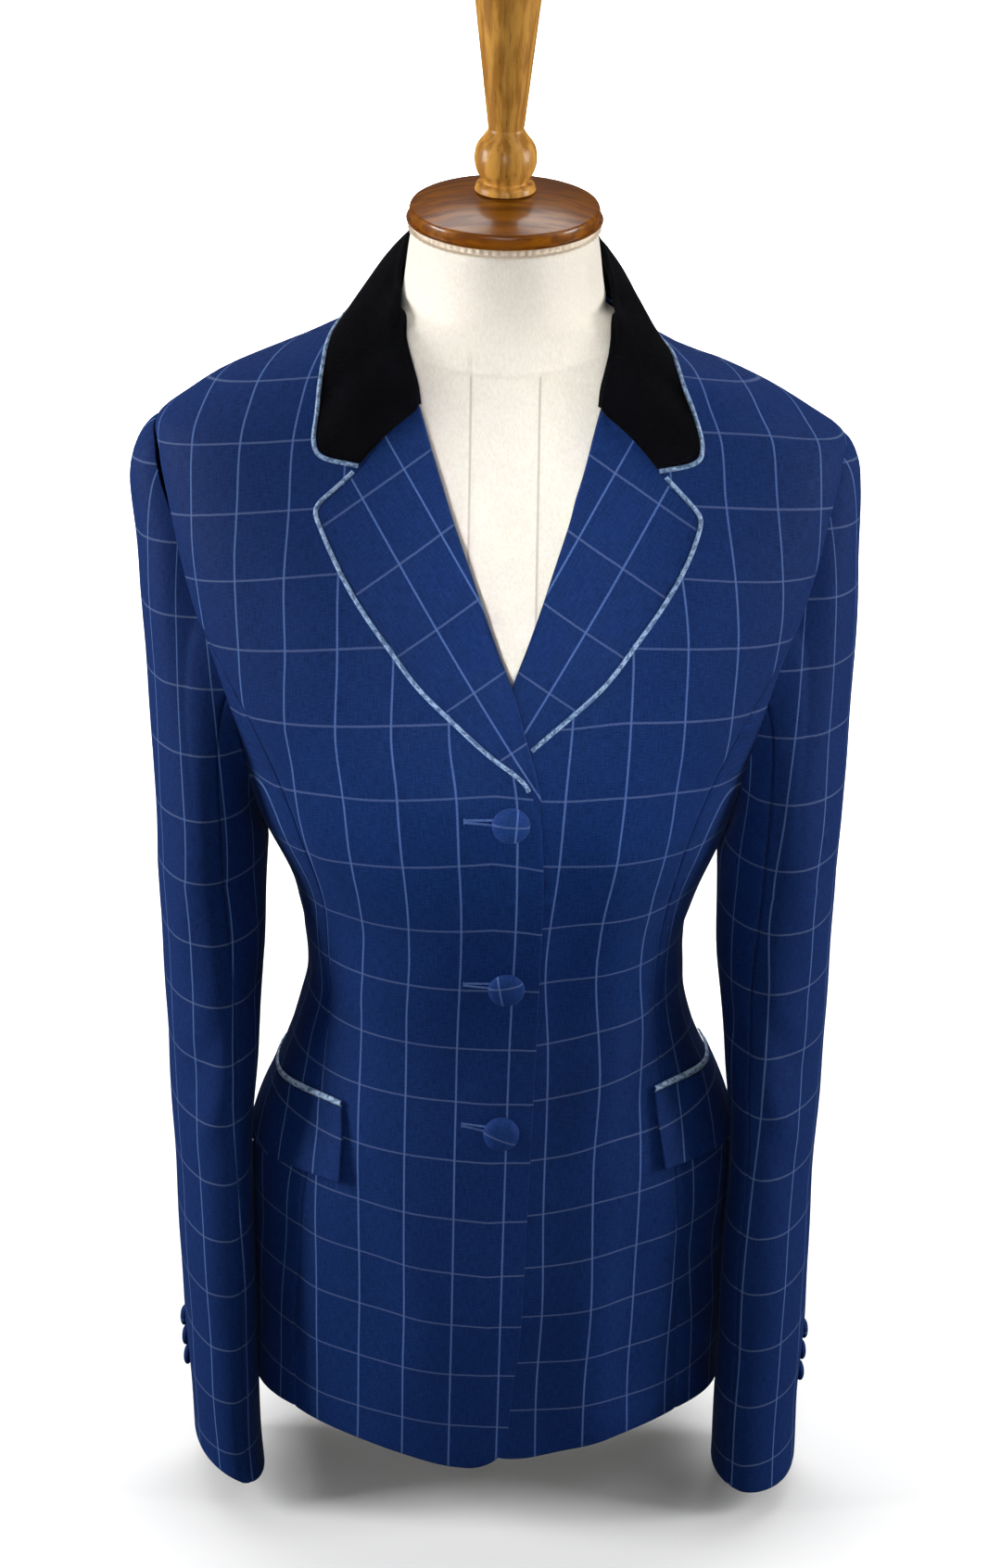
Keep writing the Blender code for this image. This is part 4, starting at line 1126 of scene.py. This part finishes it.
def sleeve(side_name, side):
    grid = sleeve_grid(side)
    lengths = np.cumsum(np.linalg.norm(np.diff(grid, axis=1), axis=2), axis=1)
    lengths = np.concatenate([np.zeros((len(grid), 1)), lengths], axis=1)
    lengths = np.concatenate([lengths[:, :-1] - lengths[:, -1:], lengths], axis=1)
    ring_turns = np.linspace(-2 * math.pi, 2 * math.pi, 2 * TURNS + 1)
    rounds = np.concatenate([grid[:, :-1], grid[:, :-1], grid[:, :1]], axis=1)
    across = unit(np.gradient(rounds, axis=1))
    outward = unit(np.cross(across, np.gradient(rounds, axis=0)))
    if np.sum(outward * (rounds - rounds.mean(axis=1, keepdims=True))) < 0:
        outward = -outward
    creases = [(t0 * DEGREE, z0, t1 * DEGREE, z1, width, depth)
               for t0, z0, t1, z1, width, depth in SLEEVE_CREASES[side]]
    settle = ramp(0.0, 0.08, np.linspace(0.0, 1.0, len(grid)))[:, None]
    for kind, first, last, shift, start in HALVES:
        steps = np.arange(first, last + 1)
        place = rounds[:, steps].copy()
        away = lengths[:, steps + shift + TURNS]
        place[:, 0] += across[:, first] * SEAM / 2
        place[:, -1] -= across[:, last] * SEAM / 2
        degrees = (steps + shift) * 360.0 / TURNS
        z = place[..., 2]
        out = (uneven(away, z) + creased(degrees[None, :] * DEGREE + 0.0 * z, z, creases)) * settle
        out = out + valley(np.abs(away - away[:, :1])) + valley(np.abs(away - away[:, -1:]))
        place = place + outward[:, steps] * out[..., None]
        head = np.interp(head_turn(side, place[:HEAD_ROWS], start), ring_turns, lengths[HEAD_ROWS])
        away = np.concatenate([head, away[HEAD_ROWS:]])
        u = side * (away - smooth(LINE_SLEEVE[side], 1, z)) / LINE_PITCH_SLEEVE[side]
        v = np.interp(z, SLEEVE_ROWS[side], np.arange(len(SLEEVE_ROWS[side])))
        cloth(kind + side_name, place, np.stack([u, v], axis=-1), outward[:, steps])


# Lapels: the outline rounds at its point, and the cloth turns over at the roll line
def lapel_edge(side, z):
    table = np.array(LAPEL[side])
    dense = np.linspace(table[0, 0], table[-1, 0], 800)
    edge = np.interp(dense, table[:, 0], table[:, 2])
    low = dense < table[LAPEL_POINT, 0] - 0.001
    edge[low] = smooth(table[:LAPEL_POINT + 1], 2, dense[low])
    reach = 30
    padded = np.concatenate([np.full(reach, edge[0]), edge, np.full(reach, edge[-1])])
    weights = hump(np.arange(-reach, reach + 1), 13.0)
    edge = np.convolve(padded, weights / weights.sum(), mode="valid")
    return np.interp(z, dense, edge)


def lapel_point(side, x, z, out):
    return coat(angle_at(x, z), z, layer(side, x, z) + out)


FOLD_STEPS = 7  # columns of the fold at the roll line
FOLD_REACH = 0.0014  # the fold stands past the roll line by this much
FOLD_FOOT = 0.0004  # and starts this far above the front
ROLL_RISE = 0.0020  # the lapel is this much higher at its roll line


def lapel(side_name, side):
    table = LAPEL[side]
    z = strips(120, 0.003)[:, None] * (table[-1][0] - table[0][0]) + table[0][0]
    rolled = side * roll(side, z)
    edge = lapel_edge(side, z)
    t = strips(34, 0.012)[None, :]
    top = LIFT + ROLL_RISE * ramp(0.545, 0.580, z) * (1 - 0.8 * ramp(0.664, 0.682, z))
    turn = np.linspace(0.15, math.pi, FOLD_STEPS + 1)[None, :-1]
    reach = np.minimum(FOLD_REACH, 0.3 * np.abs(edge - rolled))
    fold_x = rolled - reach * np.sin(turn)
    fold_rise = FOLD_FOOT + (top - FOLD_FOOT) * (1 - np.cos(turn)) / 2
    flat_x = rolled + (edge - rolled) * t
    flat_rise = LIFT + (top - LIFT) * (1 - t) ** 2 + 0.00015 * np.sin(90.0 * z + 20.0 * t)
    x = side * np.concatenate([fold_x, flat_x], axis=1)
    rise = np.concatenate([fold_rise, flat_rise], axis=1)
    grid = lapel_point(side, x, z + 0.0 * x, rise)
    long, cross = [start + by_x * x + by_z * z for start, by_x, by_z in LAPEL_CHECK[side]]
    long = np.where(long > 1.0, 1.0 + (long - 1.0) * 0.88, long)
    outward = np.zeros_like(grid)
    outward[:, FOLD_STEPS:] = (0.0, -1.0, 0.3)
    cloth("lapel_" + side_name, grid, np.stack([long, cross], axis=-1), outward, held="folded")


def lapel_piping(side_name, side):
    z = np.linspace(*PIPED[side], 120)
    edge = lapel_edge(side, z)
    way = unit(np.stack([np.gradient(edge), np.gradient(z)], axis=1))
    away = PIPE + 2 * SEAM
    x = side * (edge + way[:, 1] * away)
    path = lapel_point(side, x, z - way[:, 0] * away, away)
    piping("trim_lapel_" + side_name, path, "lapel_piping_" + side_name)


FALL_SHARES = (0.0, 0.2, 0.4, 0.6, 0.8, 0.93)  # rows of the fall, from its edge to the fold
FALL_OUT = 0.0030  # swell of the fall, outward and upward
FALL_UP = 0.0045
# Rows of the stand: share of the way down, distance inside the fold; where it lies hidden: rise, way back
STAND = [
    (0.10, 0.0024, 0.0010, 0.0010),
    (0.55, 0.0016, 0.0014, 0.0022),
    (1.00, 0.0000, 0.0014, 0.0034),
]


# Collar: fall from the outer edge up to the fold, then the stand down inside
def collar_rows(side):
    table = np.array(COLLAR)
    share = table[:, 6:]
    lower, draw_in = COLLAR_TRIM[side]
    table[:, 2:3] -= lower * ramp(0.30, 0.80, share)
    table[:, 3:4] -= draw_in * ramp(0.10, 0.45, share) * (1 - ramp(0.85, 1.0, share))
    shift = (1 - share) * np.array([COLLAR_SHIFT, 0.0, 0.0])
    mirror = np.array([side, 1.0, 1.0])
    fold = table[:, 0:3] * mirror + shift
    edge = pushed_out(table[:, 3:6] * mirror + shift, LIFT + 0.0014)
    away = unit(fold * FLAT)

    def on_coat(p, gap):
        level = np.minimum(p[:, 2], NECK_Z)
        laid = ramp(-0.0075, -0.0025, np.abs(p[:, 0]) - np.abs(inner_edge(side, level)))
        room = 0.0005 - 0.0025 * ramp(0.714, 0.727, p[:, 2])
        return np.where(p[:, 2:] < NECK_Z, pushed_out(p, (room + (gap - room) * laid)[:, None]), p)

    rows = []
    for t in FALL_SHARES:
        p = edge + (fold - edge) * t
        p = p + (away * FALL_OUT + UP * FALL_UP) * math.sin(math.pi * t) * (0.4 + 0.6 * share)
        rows.append(on_coat(p, COLLAR_GAP))
    crown = on_coat(fold + UP * 0.001, COLLAR_GAP)
    rows.append(crown)
    base = coat(np.arctan2(fold[:, 0], -fold[:, 1]), np.full(len(fold), NECK_Z)) - away * 0.0002
    base[:, 2] = NECK_Z + 0.0025
    for down, inside, up, back_by in STAND:
        high = fold - away * inside + (base - fold) * down
        hidden = on_coat(crown + UP * up - away * back_by, WALL + 0.0012)
        rows.append(hidden + (high - hidden) * ramp(0.34, 0.66, share))
    return np.stack(rows, axis=1)


def collar():
    control = np.concatenate([collar_rows(-1.0), collar_rows(1.0)[-2::-1]])
    grid = finer(control, 150)
    grid = np.swapaxes(finer(np.swapaxes(grid, 0, 1), 46), 0, 1)
    outward = np.zeros_like(grid)
    outward[:, :24] = grid[:, :24] - UP * 0.70
    cloth("collar", grid, np.zeros(grid.shape[:2] + (2,)), outward, VELVET, "folded")
    edge = grid[:, 0]
    way = unit(edge - grid[:, 3])
    path = pushed_out(edge + way * (PIPE + 2 * SEAM), PIPE + 0.0018)
    piping("trim_collar", finer(path, 300), "collar_piping")


FLAP_LIFT = LIFT + 0.0004


def pocket(side_name, side, top_x, foot_x, top, foot):
    t = strips(56, 0.008)[None, :]
    slant = POCKET_SLANT * ramp(0.05, 0.80, t)

    def angles(x, z):
        first = angle_at(x, z)
        return side * (first + (POCKET_BACK - first) * t)

    share = strips(26, 0.02)[:, None]
    z = foot + (top - foot) * share
    angle = angles(foot_x + (top_x - foot_x) * share, z)
    rise = FLAP_LIFT + (0.0005 + 0.0012 * (1 - share)) * (1 - ramp(0.3, 0.9, t))
    rise = rise + 0.0016 * (1 - share) ** 2 * (1 - t) ** 6
    grid = coat(angle, z - slant, rise + 0.0002 * np.sin(9.0 * t + 3.0 * share))
    cloth("pocket_flap_" + side_name, grid, front_check(side, angle, z - slant), grid * FLAT)
    share = np.linspace(0.0, 1.0, 9)[:, None]
    z = top + SEAM + WELT_HIGH * share
    rise = (FLAP_LIFT + 0.0013 * np.sin(math.pi * share) ** 0.7) * (1 - 0.45 * ramp(0.35, 0.90, t))
    grid = coat(angles(top_x, z), z - slant, rise)
    u = travelled(grid[4])[None, :] / BROCADE_REPEAT + 0.0 * z
    uv = np.stack([u, 2.2 * share + 0.0 * u], axis=-1)
    # The welt wears the lighter copy of the brocade, a painted highlight
    cloth("pocket_welt_" + side_name, grid, uv, grid * FLAT, BROCADE_LIT, None, WELT_WALL)


STITCHES = 44  # on each lip of a buttonhole
STITCH_SIDES = 8
STITCH_HALF = 0.0007  # half the length of a stitch
STITCH_WIDE = 0.00034
STITCH_DEEP = 0.00050
# Rings of a stitch: size, place along it
STITCH = [(0.35, -1.0), (0.85, -0.7), (1.0, 0.0), (0.85, 0.7), (0.35, 1.0)]


# Worked buttonhole: stitches side by side round the slit
def buttonhole(name, x_end, z_end, z_button):
    points = []
    faces = []
    spots = [(t, lip) for t in np.linspace(0.0, 1.0, STITCHES) for lip in (-1, 1)]
    spots += [(-0.03, lip) for lip in (-1.6, -0.8, 0.0, 0.8, 1.6)]
    for t, lip in spots:
        x = np.array(x_end + (BUTTONHOLE_END - x_end) * t)
        z = np.array(z_end + (z_button - z_end) * t + lip * (0.0007 + 0.0013 * t))
        centre = lapel_point(-1, x, z, np.array(0.00005))
        out = normal(angle_at(x, z), z)
        up = unit(UP - out * out[2])
        side = np.cross(up, out)
        faces += [[len(points) + k for k in face] for face in tube_faces(len(STITCH), STITCH_SIDES)]
        for size, along in STITCH:
            for a in full_turn(STITCH_SIDES):
                shape = side * math.cos(a) * STITCH_WIDE * size + out * math.sin(a) * STITCH_DEEP * size
                points.append(centre + shape + up * along * STITCH_HALF)
    keep(name, mesh_of(name, np.array(points), faces), THREAD)


SEAM_GROOVE = 0.0007  # depth of the cover's seams
NECK_SEAM = 0.0010  # height of the ridge at the base of the neck


# Dress form under the coat
def form():
    fine = np.radians(np.arange(1.6, 12.4, 0.2))
    angle = np.unique(np.round(np.concatenate([full_turn(180), fine, 2 * math.pi - fine]), 5))
    sides = len(angle)
    around = np.degrees(np.minimum(angle, 2 * math.pi - angle))
    rings = []
    for z in FORM_ROWS:
        rest = np.maximum(ramp(0.600, 0.662, z) * ramp(48.0, 74.0, around), ramp(0.640, 0.712, z))
        rings.append(coat(angle, np.full(sides, z), -(WALL + SHOULDER_GAP + EASE * (1 - rest))))
    for z, half, ahead, behind, centre, tilt in NECK:
        y = -np.where(np.cos(angle) > 0, ahead, behind) * np.cos(angle)
        level = z + y * math.tan(math.radians(tilt))
        rings.append(np.stack([half * np.sin(angle), centre + y, level], axis=1))
    grid = finer(np.array(rings), 200)
    x, y, z = np.moveaxis(grid, -1, 0)
    groove = np.zeros(x.shape)
    for seam in FORM_SEAMS:
        groove -= SEAM_GROOVE * hump(x - seam, 0.0012) * (z < 0.712)
    groove = np.where(np.abs(x) < 0.075, groove, 0.0)
    base = 0.7000 + 3.4 * x ** 2
    groove = groove + np.where(y < 0, NECK_SEAM * hump(z - base, 0.0016), 0.0)
    grid = grid + unit(grid * FLAT) * groove[..., None]
    data = mesh_of("padded_torso", grid, tube_faces(len(grid), sides))
    made = keep("padded_torso", data, COVER, ("form_torso",))


def front_buttons():
    for i, (x, z, room, spin, shift) in enumerate(BUTTONS):
        z = np.array(z)
        a = angle_at(np.array(x), z)
        node = "front_button_%d" % (i + 1)
        # The front buttons wear the lighter copy of the check, a painted highlight
        turned("covered_button_%d" % (i + 1), BUTTON, 64, CHECK_LIT, node,
               coat(a, z, room), normal(a, z), check=(spin, shift))


def cuff_buttons(side_name, side):
    for i, z in enumerate(CUFF_BUTTONS[side]):
        spot = ring_point(side, np.array(z), np.array(CUFF_ANGLE))
        ahead = ring_point(side, np.array(z), np.array(CUFF_ANGLE + 0.05)) - spot
        way = unit(np.cross(ahead, UP))
        way = way * np.sign(way[0] * side)
        node = "cuff_button_%s_%d" % (side_name, i + 1)
        turned("covered_" + node, BUTTON, 40, CHECK, node, spot + way * BUTTON_CUFF_ROOM, way,
               BUTTON_CUFF_SCALE, check=(20.0 * i, (0.3 * i, 0.4)))


for build in (front, side_panel, back, sleeve, lapel, lapel_piping):
    for side_name, side in SIDES:
        build(side_name, side)
collar()
for row in POCKETS:
    pocket(*row)
front_buttons()
for i, row in enumerate(BUTTONHOLES):
    buttonhole("buttonhole_%d" % (i + 1), *row)
for side_name, side in SIDES:
    cuff_buttons(side_name, side)
form()
lean = np.array([0.0, -math.sin(CAP_TILT), math.cos(CAP_TILT)])
stem = np.array(NECK_TOP) + lean * SEAM
cap_foot = stem + lean * (BAND_HIGH + SEAM)
finial_foot = stem + lean * (BAND_HIGH + CAP_HIGH + 2 * SEAM)
turned("ribbed_band", BAND, 432, RIB, "neck_band", stem, lean, ribs=72)
turned("turned_cap", CAP, 128, WOOD_CAP, "neck_cap", cap_foot, lean)
turned("turned_finial", FINIAL, 96, WOOD_TURNED, "finial", finial_foot, lean)
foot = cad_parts["form_foot"]
foot.data.materials.clear()
foot.data.materials.append(COVER)
rounding = foot.modifiers.new("rounding", "BEVEL")
rounding.width = 0.003
rounding.segments = 3

# Floor, light and camera
FLOOR_HALF = 30
floor_corners = [(x * FLOOR_HALF, y * FLOOR_HALF, 0) for x, y in ((-1, -1), (1, -1), (1, 1), (-1, 1))]
floor_data = mesh_of("floor", floor_corners, [[0, 1, 2, 3]])
floor = bpy.data.objects.new("floor", floor_data)
paper = Look("floor")
paper.surface({"Base Color": PAPER, "Roughness": 0.9, "Specular IOR Level": 0.1})
floor_data.materials.append(paper.material)
bpy.context.scene.collection.objects.link(floor)
floor.visible_diffuse = False
floor.visible_glossy = False

world = bpy.data.worlds.new("studio")
world.use_nodes = True
world.node_tree.nodes["Background"].inputs["Color"].default_value = (1.0, 1.0, 1.0, 1.0)
world.node_tree.nodes["Background"].inputs["Strength"].default_value = 0.05
bpy.context.scene.world = world

# Soft boxes: name, place, aim, width, depth, power, spread in degrees
LIGHTS = [
    ("left", (-1.70, -0.20, 0.90), (0.0, 0.0, 0.45), 0.6, 0.9, 34.0, 180.0),
    ("right", (1.70, -0.20, 0.90), (0.0, 0.0, 0.45), 0.6, 0.9, 25.0, 180.0),
    ("left_high", (-1.10, -0.60, 1.80), (0.0, 0.0, 0.45), 0.6, 0.6, 0.8, 180.0),
    ("right_high", (1.10, -0.60, 1.80), (0.0, 0.0, 0.45), 0.6, 0.6, 3.0, 180.0),
    ("front", (0.0, -1.60, 0.80), (0.0, -0.06, 0.45), 0.5, 0.5, 6.0, 180.0),
    ("beam", (-0.35, -2.05, 1.45), (0.02, -0.10, 0.60), 0.18, 0.30, 0.145, 6.0),
    ("body_beam", (0.0, -2.20, 0.95), (0.0, -0.08, 0.26), 0.27, 0.44, 0.074, 2.5),
    ("backdrop", (0.0, 4.20, 3.20), (0.0, 4.20, 0.0), 9.0, 6.0, 620.0, 100.0),
]
for name, spot, aim, width, depth, power, spread in LIGHTS:
    box = bpy.data.lights.new(name, "AREA")
    box.shape = "RECTANGLE"
    box.size = width
    box.size_y = depth
    box.energy = power
    box.spread = math.radians(spread)
    made = bpy.data.objects.new(name, box)
    made.location = spot
    made.rotation_euler = (Vector(aim) - Vector(spot)).to_track_quat("-Z", "Y").to_euler()
    made.visible_camera = False
    bpy.context.scene.collection.objects.link(made)

CAMERA_AT = (0.003, -1.50, 1.065)
PITCH = math.radians(22.5)  # the camera looks down by this much
TIP = math.radians(1.0)  # and is tipped by this much
SENSOR = 36.0
FOCAL_SHARE = 3000.0 / 1692.0  # focal length as a share of the picture's height
lens = bpy.data.cameras.new("camera")
lens.sensor_width = SENSOR
lens.sensor_fit = "AUTO"
lens.lens = FOCAL_SHARE * SENSOR
lens.clip_end = 100.0
camera = bpy.data.objects.new("camera", lens)
ahead = np.array([0.0, math.cos(PITCH), -math.sin(PITCH)])
level_up = np.array([0.0, math.sin(PITCH), math.cos(PITCH)])
level_right = np.array([1.0, 0.0, 0.0])
aim = np.eye(4)
aim[:3, 0] = level_right * math.cos(TIP) + level_up * math.sin(TIP)
aim[:3, 1] = level_up * math.cos(TIP) - level_right * math.sin(TIP)
aim[:3, 2] = -ahead
aim[:3, 3] = CAMERA_AT
camera.matrix_world = Matrix(aim.tolist())
bpy.context.scene.collection.objects.link(camera)
bpy.context.scene.camera = camera
bpy.context.scene.view_settings.view_transform = "Standard"

bpy.context.view_layer.update()
